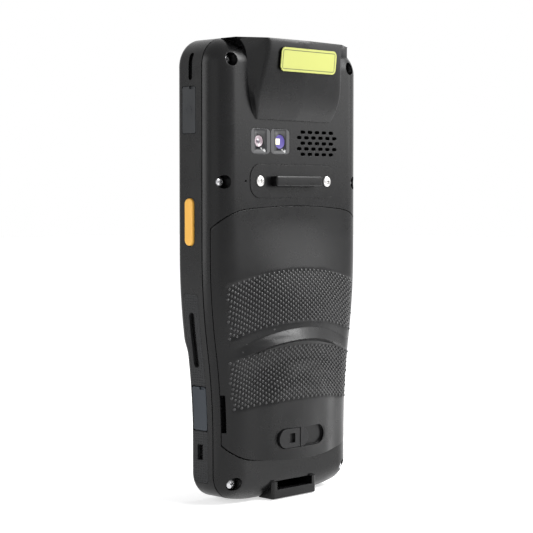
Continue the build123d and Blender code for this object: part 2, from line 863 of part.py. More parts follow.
def rear_shell(form):
    """The moulded rear half: hood, battery tray and tub, screw wells, seats and strap bar."""
    skin = form & block((-far, far), (-split_depth, far), (-far, far))
    cover_cut = cover_zone(seam, shelf_y, far)
    step_wall = cover_zone(seam + shelf_rim, shelf_y - shelf_thick, far)
    hollow = slab(outline(wall), -far, shelf_y - shelf_thick)
    body = skin + scan_hood() - cover_cut - hollow - rear_cavity() - head_room()
    body = body + (form & (step_wall - cover_cut))
    for x, z in screw_places():
        body = body + (post(x, z, boss_radius, -split_depth, wall) & form)
    body = body + bay_tub() - bay_room() + latch_hook() + lower_bar()
    body = body - strap_slot() - window_seats() - grille_holes() - strap_seat() - label_seat()
    body = body - scan_window_seat() - tab_blocks(tab_room) - contact_seat(fit / 2)
    for x, z in screw_places():
        body = body - post(x, z, well_radius, -well_floor, far)
        body = body - post(x, z, screw_shank_radius + screw_play, -far, -well_floor + merge)
    mic = post(mic_x, strap_z, mic_radius, -2 * wall, wall)
    return body - mic - parting_cut()


# --- battery cover, latch and pack --------------------------------------------------------------
def latch_pocket_sketch(grow=0.0):
    return Pos(0, latch_z) * SlotOverall(2 * (latch_half + grow), 2 * (latch_half_height + grow))


def latch_centre():
    return latch_half - latch_slider_length / 2 - latch_end_gap


def latch_window():
    """Slot in the pocket's floor for the neck of the slider over its whole travel."""
    left, right = span(latch_centre(), latch_neck[0] + 2 * fit)
    return block((left - latch_travel, right), (-far, far), span(latch_z, latch_neck[1] + 2 * fit))


def cover_shell():
    """The sculpted skin with its ribs, open inside."""
    form = cover_form()
    outer = form & cover_zone(0.0, -cover_edge_depth, far)
    inner = Pos(0, -cover_wall, 0) * form & cover_zone(-cover_wall, -cover_edge_depth - past, far)
    half_cover = outer - inner
    for rib_x in rib_places:
        rib = block(span(rib_x, rib_thick), (-pack_top + fit, far), rib_z)
        half_cover = half_cover + (rib & outer)
    return half_cover + mirror(half_cover, Plane.YZ)


def battery_cover():
    """The sculpted cover: one skin with a crown, an arched ridge and a dished grip, open inside."""
    face, floor = latch_levels()[:2]
    notch = block((half_grip - notch_deep, far), (-far, -cover_edge_depth + notch_high), notch_z)
    pocket_wall = slab(latch_pocket_sketch(latch_rim), floor - latch_floor, face - cover_wall + hook_root)
    above_hooks = block((-far, far), (merge - cover_wall, far), (-far, far))
    cover = cover_shell() - notch + pocket_wall - slab(latch_pocket_sketch(), floor, far)
    return cover - latch_window() + (tab_blocks(0.0) - above_hooks)


def latch_slider():
    """Slider with its finger recess, neck, inner flange and locking tongue."""
    floor, flange_top, flange_low = latch_levels()[1:]
    x = latch_centre()
    low = floor + latch_play
    cap = slab(Pos(x, latch_z) * SlotOverall(latch_slider_length, 2 * (latch_half_height - fit)),
               low, low + latch_plate)
    long, high, deep = latch_recess
    recess = block(span(x + latch_recess_x, long), (low + latch_plate - deep, far), span(latch_z, high))
    slit = block(span(x + latch_slit_x, latch_slit), (low + latch_plate - deep, far), (0, 2 * latch_z))
    neck = block(span(x, latch_neck[0]), (flange_low, low + merge), span(latch_z, latch_neck[1]))
    flange = block(span(x, latch_flange[0]), (flange_low, flange_top), span(latch_z, latch_flange[1]))
    tongue = block(tongue_x, (flange_low, flange_top), tongue_z)
    return cap - recess - slit + neck + flange + tongue


def battery_pack():
    """Removable pack with rounded long edges, a sunk face and its contact pads."""
    low, high = bay_z[0] + pack_gap, bay_z[1] - pack_end
    middle = (low + high) / 2
    half = bay_half - pack_play
    pack = slab(rounded(2 * half, high - low, pack_round, 0, middle), -bay_floor + pack_base, -pack_top)
    edges = pack.edges().group_by(Axis.Y)
    pack = fillet(edges[-1] + edges[0], pack_ease)
    in_x, in_z, deep = pack_sink
    face = slab(rounded(2 * (half - in_x), high - low - 2 * in_z, pack_sink_round, 0, middle),
                -pack_top - deep, far)
    pads = block((-contact_half, contact_half), contact_y, (high - contact_pad, far))
    return pack - face - pads


def battery_contacts():
    """Contact block in the tub's top wall, with spring pins that reach the pack."""
    tips = bay_z[1] - pack_end - contact_pad + fit
    pin = Cylinder(contact_pin, bay_z[1] + contact_root - tips, align=(Align.CENTER, Align.CENTER, Align.MIN))
    row = [(i - (contact_pins - 1) / 2) * contact_pitch for i in range(contact_pins)]
    return joined([contact_seat()] + [Pos(x, sum(contact_y) / 2, tips) * pin for x in row])


def bay_gasket():
    """Soft ring on the shelf round the battery bay."""
    rings = []
    for grow in (gasket_gap + gasket_width, gasket_gap):
        rings.append(rounded(2 * (bay_half + grow), bay_z[1] - bay_z[0] + 2 * grow, pack_round + grow,
                             0, sum(bay_z) / 2))
    return slab(rings[0] - rings[1], shelf_y, shelf_y + gasket_thick)


# --- front shell --------------------------------------------------------------------------------
def front_profile():
    """Side view of the front shell, extruded across: the keypad end is a little thinner."""
    deep = -front_depth
    shallow = -front_depth + front_step
    high, low = glass_z[0] - step_start, glass_z[0] - step_end
    middle = (high + low) / 2
    edge = [
        Line((0, -far), (0, far)),
        Line((0, far), (deep, far)),
        Line((deep, far), (deep, high)),
        Bezier((deep, high), (deep, middle), (shallow, middle), (shallow, low)),
        Line((shallow, low), (shallow, -far)),
        Line((shallow, -far), (0, -far)),
    ]
    return slab_x(make_face(Curve() + edge), -far, far)


def side_pad(side, y_range, z_range, radius, grow=0.0):
    """A rounded rectangle seen from the side, as a solid through one side wall."""
    sketch = Pos(sum(y_range) / 2, sum(z_range) / 2) * RectangleRounded(
        y_range[1] - y_range[0] + 2 * grow, z_range[1] - z_range[0] + 2 * grow, radius)
    ends = (side_cut_start, far) if side > 0 else (-far, -side_cut_start)
    return slab_x(sketch, *ends)


def side_skin(outer_inset, inner_inset):
    """The layer of the side wall between two insets from the outline."""
    outer = slab(outline(outer_inset), -front_depth, -split_depth)
    inner = slab(outline(inner_inset), -front_depth - past, -split_depth + past)
    return outer - inner


def key_places():
    """Name, centre and size of every front key."""
    names = ["1", "2", "3", "clear", "4", "5", "6", "up", "7", "8", "9", "down",
             "star", "0", "hash", "enter"]
    places = {}
    for index, name in enumerate(names):
        row, column = divmod(index, key_columns)
        x = (column - (key_columns - 1) / 2) * key_pitch
        z = key_first + (key_rows - 1 - row) * key_step
        places["key_" + name] = (x, z, key_size)
    places["key_soft_left"] = (-soft_key_x, soft_key_z, soft_key_size)
    places["key_soft_right"] = (soft_key_x, soft_key_z, soft_key_size)
    places["key_scan"] = (0.0, soft_key_z, scan_key_size)
    return places


def side_key_hole(side, z, long):
    return side_pad(side, side_key_y, span(z, long), side_key_width / 2 - fit + key_gap, key_gap)


def side_keys():
    """Side, height and length of each side key."""
    return {
        "scan_key_right": (1, side_key_z, side_key_length),
        "scan_key_left": (-1, side_key_z, side_key_length),
        "power_key": (-1, power_z, small_key_length),
        "volume_rocker": (-1, rocker_z, rocker_length),
    }


def display_seat():
    """Seat of the touch glass with the display's way through the front wall."""
    high = glass_z[1] - glass_z[0]
    view_high = view_z[1] - view_z[0]
    seat = slab(rounded(2 * glass_half + fit, high + fit, glass_round, 0, sum(glass_z) / 2),
                -far, -front_depth + glass_thick + glue)
    way = slab(rounded(2 * view_half + 2 * fit, view_high + 2 * fit, view_round + fit, 0, sum(view_z) / 2),
               -front_depth, -split_depth)
    return seat + way


def ear_seat():
    """Seat of the earpiece mesh with the sound's way through the front wall."""
    seat = slab(Pos(0, ear_z) * SlotOverall(ear_size[0] + fit, ear_size[1] + fit), -far,
                -front_depth + ear_thick + glue)
    way = slab(Pos(0, ear_z) * SlotOverall(ear_size[0] - 2 * ear_lip[0], ear_size[1] - 2 * ear_lip[1]),
               -front_depth, -front_depth + 2 * front_wall)
    return seat + way


def side_cuts():
    """Everything cut into the side wall: doors, grips, slots, socket and port."""
    door_seat = side_skin(-1, door_thick + door_play)
    jack = Pos(half_top, jack_y, jack_z) * Rot(0, 90, 0) * Cylinder(jack_bore + jack_way, 2 * jack_reach)
    port = block((usb_x[0] + fit, far), (usb_y[0] - fit, usb_y[1] + fit), (usb_z[0] - fit, usb_z[1] + fit))
    return [
        door_seat & side_pad(1, door_y, door_z, door_round, door_gap),
        door_seat & side_pad(1, port_door_y, port_door_z, door_round, door_gap),
        side_skin(-1, grip_thick + glue) & grip_band(merge),
        side_skin(-1, grip_thick + grip_slot_depth * grip_slot_share) & side_slots(),
        side_skin(-1, grip_slot_depth) & side_slits(),
        jack,
        port,
    ]


def front_shell():
    """The moulded front half: side wall, display seat, key holes, side seats and bosses."""
    body = slab(outline(), -front_depth, -split_depth) & front_profile()
    rim = [e for e in body.edges() if e.center().Y < -front_depth + front_step + rim_reach
           and not (abs(e.center().X) < middle_band
                    and middle_band < e.center().Z < length - middle_band)]
    body = fillet(rim, front_round)
    body = body - slab(outline(side_wall), -front_depth + front_wall, far)
    for x, z in screw_places():
        body = body + post(x, z, front_boss_radius, -front_depth + front_wall - merge, -split_depth)
    body = body - display_seat() - ear_seat()
    for x, z, size in key_places().values():
        body = body - slab(rounded(size[0] + 2 * key_gap, size[1] + 2 * key_gap, key_round, x, z),
                           -far, -front_depth + front_wall + 2 * fit)
    for side, z, long in side_keys().values():
        body = body - side_key_hole(side, z, long)
    for cut in side_cuts():
        body = body - cut
    for x, z in screw_places():
        body = body - post(x, z, screw_shank_radius + fit / 2, -well_floor - screw_length - 1, 0)
    return body - parting_cut()


def grip_band(grow):
    return joined([side_pad(side, grip_y, grip_z, grip_round, grow) for side in mirror_x])


def side_slots():
    """The long slot and the lanyard slot in the grips, on both sides."""
    cuts = []
    for side in mirror_x:
        cuts.append(side_pad(side, grip_slot_y, grip_slot_z, grip_slot_width / 2 - hair))
        cuts.append(side_pad(side, lanyard_y, lanyard_z, lanyard_round))
    return joined(cuts)


def side_slits():
    """The narrow slit by the top corner, on both sides."""
    return joined([side_pad(side, side_slit_y, side_slit_z, slit_width / 2 - hair) for side in mirror_x])


def side_grips():
    """Rubber inlays of the grip: two on the side with the port door, one on the other."""
    band = (side_skin(0, grip_thick) & front_profile() & grip_band(0.0)) - side_slots()
    right, left, across = (0, far), (-far, 0), (-far, far)
    return {
        "side_grip_upper_right": band & block(right, across, (port_door_z[1] + 2 * door_gap, far)),
        "side_grip_lower_right": band & block(right, across, (-far, port_door_z[0] - 2 * door_gap)),
        "side_grip_left": band & block(left, across, across),
    }


def side_door(y_range, z_range):
    """A soft door that follows the side wall, with a nail notch at its upper edge."""
    door = side_skin(0, door_thick) & side_pad(1, y_range, z_range, door_round)
    wide, high = door_notch
    back = y_range[1] - door_notch_in
    notch = block((0, far), (back - wide, back), (z_range[1] - high, far))
    return door - (notch & side_skin(-1, door_thick / 2))


# --- inserts ------------------------------------------------------------------------------------
def window_plate(x, width):
    return slab(rounded(width, window_height, window_round, x, window_z), -window_thick, 0)


def camera_module():
    top = -window_thick - glue - module_play
    radius, deep = camera_lens
    barrel = post(lens_x, window_z, module_radius, top - camera_height, top)
    return barrel - post(lens_x, window_z, radius, top - deep, 0)


def flash_led():
    top = -window_thick - glue - module_play
    base = post(led_x, window_z, module_radius, top - led_height, top - led_sink)
    chip = block(span(led_x, 2 * led_chip), (top - led_sink - merge, top), span(window_z, 2 * led_chip))
    return base + chip


def speaker_grille():
    """Thin dust mesh behind the holes of the grille."""
    return slab(rounded(2 * grille_half, 2 * grille_half_height, grille_round, grille_x, grille_z),
                -wall - glue - grille_thick, -wall - glue)


def speaker():
    """Loudspeaker with its diaphragm sunk inside a rim."""
    top = -wall - glue - grille_thick - fit
    sketches = []
    for inset in (speaker_edge, speaker_edge + speaker_rim):
        sketches.append(rounded(2 * (grille_half - inset), 2 * (grille_half_height - inset), grille_round,
                                grille_x, grille_z))
    return slab(sketches[0], top - speaker_height, top) - slab(sketches[1], top - speaker_sink, top)


def strap_plate():
    sketch = rounded(2 * strap_half, 2 * strap_half_height, strap_round, 0, strap_z)
    plate = slab(sketch, strap_proud - strap_thick, strap_proud)
    for side in mirror_x:
        plate = plate - post(side * strap_screw_x, strap_z, strap_shank + fit / 2, -far, far)
    return plate


def strap_bar():
    """The bar that the hand strap is threaded behind, on its two feet."""
    top = strap_proud + strap_bar_rise
    bar = slab(rounded(2 * strap_bar_half, strap_bar_height, strap_bar_round, 0, strap_z), strap_proud, top)
    half = strap_bar_half - strap_bar_foot
    bar = bar - block((-half, half), (-far, top - strap_bar_thick), (-far, far))
    return fillet(bar.edges().group_by(Axis.Y)[-1], strap_bar_ease)


def screw(x, z, seat, head, shank, tip):
    """A pan head screw along Y: head radius and height, shank radius, place of its tip."""
    radius, high = head
    cap = post(x, z, radius, seat, seat + high)
    cap = fillet(cap.edges().group_by(Axis.Y)[-1], head_ease)
    return (cap + post(x, z, shank, tip, seat + merge)).solid()


def strap_screws():
    head = (strap_screw_radius, strap_screw_head)
    shank = (strap_shank, merge - wall)
    return Compound(children=[screw(side * strap_screw_x, strap_z, strap_proud, head, *shank)
                              for side in mirror_x])


def case_screws():
    head = (screw_head_radius, screw_head_height)
    return Compound(children=[screw(x, z, -well_floor, head, screw_shank_radius, -well_floor - screw_length)
                              for x, z in screw_places()])


def label_pad():
    return extrude(label_plane() * RectangleRounded(*label_size, label_round), label_thick)


def scan_window():
    return extrude(scan_window_sketch(length - scan_window_thick, 0.0), scan_window_thick)


def scan_engine():
    """Imager block under the scan window, with its lens barrel and aiming light."""
    top = length - scan_window_thick - head_gap - engine_gap
    high_y = head_top - engine_play
    low_y = high_y - engine_height
    body = block((-engine_half, engine_half), (low_y, high_y), (top - engine_length, top))
    for x, radius in (engine_lens, engine_aim):
        bore = Cylinder(radius, engine_bore, align=(Align.CENTER, Align.CENTER, Align.MAX))
        body = body - Pos(x, (low_y + high_y) / 2, top) * bore
    return body


def touch_glass():
    high = glass_z[1] - glass_z[0]
    return slab(rounded(2 * glass_half, high, glass_round, 0, sum(glass_z) / 2), -front_depth,
                -front_depth + glass_thick)


def display_module():
    front = -front_depth + glass_thick + glue
    return slab(rounded(2 * view_half, view_z[1] - view_z[0], view_round, 0, sum(view_z) / 2), front,
                front + display_thick)


def port_room():
    """Room round the port connector, open towards the side."""
    return block((usb_x[0] - fit - seam, far), (-far, far), (usb_z[0] - usb_room, usb_z[1] + usb_room))


def main_board():
    """Board under the display with its parts and the switches of the side keys."""
    rear = -board_depth
    front = rear - board_thick
    high = board_z[1] - board_z[0]
    board = slab(rounded(2 * board_half, high, board_round, 0, sum(board_z) / 2), front, rear)
    jack_high = span(jack_z, 2 * (jack_outer + board_slack))
    jack_room = block((jack_x[0] - board_slack, far), (-far, far), jack_high)
    board = board - jack_room - port_room()
    for x, z in screw_places():
        board = board - post(x, z, boss_radius, -far, 0)
    deep, tall, long = switch_size
    reach = half_top - side_wall - switch_gap
    for side, z, _ in side_keys().values():
        land = sorted((side * (board_half - switch_root), side * reach))
        switch = sorted((side * (reach - deep), side * reach))
        board = board + block(land, (front, rear), span(z, switch_land))
        board = board + block(switch, (rear - merge, rear + tall), span(z, long))
    can = slab(rounded(*can_size, can_round, 0, can_z), rear - merge, rear + can_height)
    for x, width in chip_sizes:
        face = rounded(width, chip_high, chip_round, x, chip_z)
        board = board + slab(face, rear - merge, rear + chip_height)
    return board + can


def keypad_mat():
    """Rubber mat behind the keys."""
    top = -front_depth + front_wall + key_travel + key_slack
    low = key_first - key_size[1] / 2 - mat_border[0]
    high = soft_key_z + soft_key_size[1] / 2 + mat_border[1]
    mat = slab(rounded(2 * board_half, high - low, mat_round, 0, (high + low) / 2), top, top + mat_thick)
    for x, z in screw_places():
        mat = mat - post(x, z, boss_radius, -far, 0)
    return mat - port_room()


def front_key(x, z, size):
    """A key cap with softened front edges, standing on the mat."""
    face = -front_depth + front_step - key_proud
    inner = -front_depth + front_wall
    cap = slab(rounded(size[0], size[1], key_round - fit, x, z), face, inner + fit / 2)
    return fillet(cap.edges().group_by(Axis.Y)[0], key_ease)


def side_key(side, z, long, flange_gap, flange_long):
    """A side key: proud cap through the wall and a flange behind it."""
    thick, past = side_flange[:2]
    inner = half_top - side_wall - flange_gap
    sketch = Pos(sum(side_key_y) / 2, z) * RectangleRounded(side_key_width, long, side_key_width / 2 - fit)
    cap = slab_x(sketch, inner - merge, half_top + side_key_proud)
    cap = fillet(cap.edges().group_by(Axis.X)[-1], side_key_ease)
    flange = block((inner - thick, inner), (side_key_y[0] - past, side_key_y[1] + past), span(z, flange_long))
    key = cap + flange
    return key if side > 0 else mirror(key, Plane.YZ)


def side_key_pieces():
    """The side keys by name: the rocker's flange is shorter and further in, so that it can tilt."""
    pieces = {}
    for name, (side, z, long) in side_keys().items():
        rocks = name == "volume_rocker"
        flange_gap = rocker_play if rocks else key_gap
        flange_long = long * rocker_flange if rocks else long + 2 * side_flange[2]
        pieces[name] = side_key(side, z, long, flange_gap, flange_long)
    return pieces


def earpiece_mesh():
    return slab(Pos(0, ear_z) * SlotOverall(*ear_size), -front_depth, -front_depth + ear_thick)


def audio_jack():
    """Headset socket behind its door."""
    body = block(jack_x, span(jack_y, 2 * jack_outer), span(jack_z, 2 * jack_outer))
    return body - Pos(jack_x[1], jack_y, jack_z) * Rot(0, 90, 0) * Cylinder(jack_bore, 2 * jack_deep)


def usb_connector():
    """Metal shell of the port with its tongue."""
    corner = usb_size[1] / 2 - 2 * hair
    outer = side_pad(1, usb_y, usb_z, corner) & block(usb_x, (-far, far), (-far, far))
    inner = side_pad(1, usb_y, usb_z, corner - usb_skin, -usb_skin) & block(
        (usb_x[0] + usb_back, far), (-far, far), (-far, far))
    thick, high = usb_tongue
    tongue = block((usb_x[0], usb_x[1] - usb_back), span(sum(usb_y) / 2, thick), span(sum(usb_z) / 2, high))
    return outer - inner + tongue


# --- writing ------------------------------------------------------------------------------------
def all_pieces():
    form = back_form()
    pieces = {
        "rear_shell": rear_shell(form),
        "front_shell": front_shell(),
        "battery_cover": battery_cover(),
        "latch_slider": latch_slider(),
        "battery_pack": battery_pack(),
        "battery_contacts": battery_contacts(),
        "battery_gasket": bay_gasket(),
        "camera_window": window_plate(camera_x, camera_width),
        "flash_window": window_plate(flash_x, flash_width),
        "camera_module": camera_module(),
        "flash_led": flash_led(),
        "speaker_grille": speaker_grille(),
        "speaker": speaker(),
        "strap_plate": strap_plate(),
        "strap_bar": strap_bar(),
        "strap_screws": strap_screws(),
        "case_screws": case_screws(),
        "label_pad": label_pad(),
        "scan_window": scan_window(),
        "scan_engine": scan_engine(),
        "touch_glass": touch_glass(),
        "display_module": display_module(),
        "main_board": main_board(),
        "keypad_mat": keypad_mat(),
        "earpiece_mesh": earpiece_mesh(),
        "audio_jack": audio_jack(),
        "usb_connector": usb_connector(),
        "audio_door": side_door(door_y, door_z),
        "port_door": side_door(port_door_y, port_door_z),
    }
    pieces.update(side_grips())
    for name, (x, z, size) in key_places().items():
        pieces[name] = front_key(x, z, size)
    pieces.update(side_key_pieces())
    return pieces


def main():
    os.makedirs("parts", exist_ok=True)
    for name, piece in all_pieces().items():
        solids = [solid.moved(Location((0, frame_shift, -foot_z))) for solid in piece.solids()]
        whole = solids[0] if len(solids) == 1 else Compound(children=solids)
        export_step(whole, os.path.join("parts", name + ".step"))


main()
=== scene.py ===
import json
import math
import bmesh
import bpy
from mathutils import Matrix, Vector


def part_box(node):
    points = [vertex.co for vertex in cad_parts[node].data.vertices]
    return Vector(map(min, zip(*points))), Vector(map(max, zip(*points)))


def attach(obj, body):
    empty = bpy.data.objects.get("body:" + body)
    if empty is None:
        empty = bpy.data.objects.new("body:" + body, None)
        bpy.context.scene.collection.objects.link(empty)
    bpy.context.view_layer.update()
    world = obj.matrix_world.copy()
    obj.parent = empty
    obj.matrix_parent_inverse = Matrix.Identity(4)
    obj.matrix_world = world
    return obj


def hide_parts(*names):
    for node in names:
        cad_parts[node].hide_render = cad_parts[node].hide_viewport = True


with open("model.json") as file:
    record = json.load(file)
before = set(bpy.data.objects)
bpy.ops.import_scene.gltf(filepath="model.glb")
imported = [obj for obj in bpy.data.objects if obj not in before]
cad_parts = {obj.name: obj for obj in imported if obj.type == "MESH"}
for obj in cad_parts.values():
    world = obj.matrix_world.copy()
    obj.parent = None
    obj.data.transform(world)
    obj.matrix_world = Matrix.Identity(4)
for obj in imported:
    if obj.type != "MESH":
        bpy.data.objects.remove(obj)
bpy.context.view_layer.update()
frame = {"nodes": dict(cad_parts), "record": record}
bpy.context.scene.view_settings.view_transform = "Standard"
millimetre = 0.001
backPlane = 7.1                # the flat of the back in the row frame's Y
footLift = 1.0                 # the datum of the case above the foot
weldReach = 0.000002           # vertices of a solid this near are one, in metres
thinEdge = 0.000001            # edges this short are none, in metres
rangeSockets = ("From Min", "From Max", "To Min", "To Max")
mixSockets = {"first": 6, "second": 7, "result": 2}

record = frame["record"]
bodyOf = {node: body for body, nodes in record["behaviour"]["bodies"].items() for node in nodes}
slotOf = {entry["node"]: entry["material_slot"] for entry in record["subparts"]}


def reportStage(text):
    print("scene:", text, flush=True)


def linked(name, data):
    holder = bpy.data.objects.new(name, data)
    bpy.context.scene.collection.objects.link(holder)
    return holder


# a finished form as a piece of its own
def formPiece(name, form):
    mesh = bpy.data.meshes.new(name)
    form.to_mesh(mesh)
    form.free()
    return linked(name, mesh)


# a point of the case, from millimetres across, out of the back and up the length
def casePoint(x, y, z):
    return Vector((x, y + backPlane, z + footLift)) * millimetre


# the other way: where a vertex stands, in the same millimetres
def casePlace(vert):
    return (vert.co.x / millimetre, vert.co.y / millimetre - backPlane, vert.co.z / millimetre - footLift)


# a direction from its turn about the length of the case and its rise, in radians
def direction(turn, rise):
    return Vector((math.sin(turn) * math.cos(rise), -math.cos(turn) * math.cos(rise), math.sin(rise)))


# camera, in millimetres and dots of the picture; pitch in radians, other angles in degrees
cameraLook = {"turn": 134.5, "pitch": 0.045, "distance": 602.164, "shift": 10.303, "aim": 87.467,
              "focal": 1588.6, "picture": 533, "sensor": 36, "nearest": 10}
# lamps and floor, in metres
lampAim = (0, 0, 0.09)
boxLamps = {
    "sideLamp": {"turn": 68, "rise": 14, "distance": 0.8, "size": (0.4, 0.7), "power": 3.5},
    "backLamp": {"turn": 230, "rise": 26, "distance": 0.45, "size": (0.32, 0.34), "power": 0.8},
    "ridgeLamp": {"turn": 210, "rise": 36, "distance": 0.45, "size": (0.3, 0.18), "power": 2.4},
    "highLamp": {"turn": 256, "rise": 56, "distance": 0.6, "size": (0.34, 0.2), "power": 2.6},
    "fillLamp": {"turn": 118, "rise": 10, "distance": 1.0, "size": (0.6, 0.8), "power": 0.8},
}
studioLook = {"seen": (1, 1, 1, 1), "lit": (0.10, 0.10, 0.105, 1), "floorHalf": 3.0, "floorLevel": -0.0004,
              "floorColour": (0.86, 0.86, 0.86, 1), "floorRough": 0.9, "floorGloss": 0.1,
              "floorGlow": (0.62, 1.0), "glowReach": (0.1, 0.4)}


def addCamera(look):
    back = direction(math.radians(look["turn"]), look["pitch"])
    right = (-back).cross(Vector((0, 0, 1))).normalized()
    up = right.cross(-back)
    place = Vector((0, backPlane, look["aim"])) + back * look["distance"] - right * look["shift"]
    data = bpy.data.cameras.new("viewCamera")
    data.sensor_width = look["sensor"]
    data.lens = look["focal"] / look["picture"] * look["sensor"]
    data.clip_start = look["nearest"] * millimetre
    camera = linked("viewCamera", data)
    turned = Matrix((right, up, back)).transposed().to_4x4()
    camera.matrix_world = Matrix.Translation(place * millimetre) @ turned
    bpy.context.scene.camera = camera


def addLamp(name, look):
    data = bpy.data.lights.new(name, "AREA")
    data.shape = "RECTANGLE"
    data.size, data.size_y = look["size"]
    data.energy = look["power"]
    away = direction(math.radians(look["turn"]), math.radians(look["rise"]))
    lamp = linked(name, data)
    lamp.location = Vector(lampAim) + away * look["distance"]
    lamp.rotation_euler = away.to_track_quat("Z", "Y").to_euler()
    lamp.visible_camera = False


# 1 for the rays that see the studio white: straight from the camera, mirrored or through glass
def seenRays(tree):
    path = tree.nodes.new("ShaderNodeLightPath")
    total = path.outputs["Is Camera Ray"]
    for name in ("Is Glossy Ray", "Is Transmission Ray"):
        more = tree.nodes.new("ShaderNodeMath")
        more.operation = "MAXIMUM"
        tree.links.new(total, more.inputs[0])
        tree.links.new(path.outputs[name], more.inputs[1])
        total = more.outputs[0]
    return total


def addWorld(look):
    world = bpy.data.worlds.new("studio")
    world.use_nodes = True
    tree = world.node_tree
    tree.nodes.clear()
    mix = tree.nodes.new("ShaderNodeMixShader")
    tree.links.new(seenRays(tree), mix.inputs[0])
    for socket, colour in ((1, look["lit"]), (2, look["seen"])):
        light = tree.nodes.new("ShaderNodeBackground")
        light.inputs["Color"].default_value = colour
        tree.links.new(light.outputs[0], mix.inputs[socket])
    tree.links.new(mix.outputs[0], tree.nodes.new("ShaderNodeOutputWorld").inputs[0])
    bpy.context.scene.world = world


# white paper that is brighter to the eye the further it lies from the case
def addFloor(look):
    half, low = look["floorHalf"], look["floorLevel"]
    mesh = bpy.data.meshes.new("floor")
    mesh.from_pydata([(-half, -half, low), (half, -half, low), (half, half, low), (-half, half, low)],
                     [], [(0, 1, 2, 3)])
    material = bpy.data.materials.new("floorPaper")
    material.use_nodes = True
    tree = material.node_tree
    shader = tree.nodes["Principled BSDF"]
    shader.inputs["Base Color"].default_value = look["floorColour"]
    shader.inputs["Roughness"].default_value = look["floorRough"]
    shader.inputs["Specular IOR Level"].default_value = look["floorGloss"]
    glow = tree.nodes.new("ShaderNodeEmission")
    coords = tree.nodes.new("ShaderNodeTexCoord")
    away = tree.nodes.new("ShaderNodeVectorMath")
    away.operation = "LENGTH"
    fade = tree.nodes.new("ShaderNodeMapRange")
    for socket, value in zip(rangeSockets, look["glowReach"] + look["floorGlow"]):
        fade.inputs[socket].default_value = value
    factor = tree.nodes.new("ShaderNodeMath")
    factor.operation = "MULTIPLY"
    tree.links.new(coords.outputs["Object"], away.inputs[0])
    tree.links.new(away.outputs["Value"], fade.inputs["Value"])
    tree.links.new(fade.outputs[0], factor.inputs[1])
    total = tree.nodes.new("ShaderNodeAddShader")
    tree.links.new(seenRays(tree), factor.inputs[0])
    tree.links.new(factor.outputs[0], glow.inputs["Strength"])
    tree.links.new(shader.outputs[0], total.inputs[0])
    tree.links.new(glow.outputs[0], total.inputs[1])
    tree.links.new(total.outputs[0], tree.nodes["Material Output"].inputs[0])
    mesh.materials.append(material)
    linked("floor", mesh)


addCamera(cameraLook)
addWorld(studioLook)
addFloor(studioLook)
for lampName, lampLook in boxLamps.items():
    addLamp(lampName, lampLook)
reportStage("camera, lamps and floor")


# finishes: grain, depth, corner and weave in millimetres, wear is how far the corners polish lighter
plainFinish = {"colour": (0.0045, 0.0045, 0.0048), "rough": 0.28, "swing": 0.12, "grain": 0.28,
               "depth": 0.012, "mottle": 0.18, "corner": 0.22, "wear": 0.35, "metal": 0.0, "level": 0.21,
               "coat": 0.0, "alpha": 1.0, "weave": 0.0}
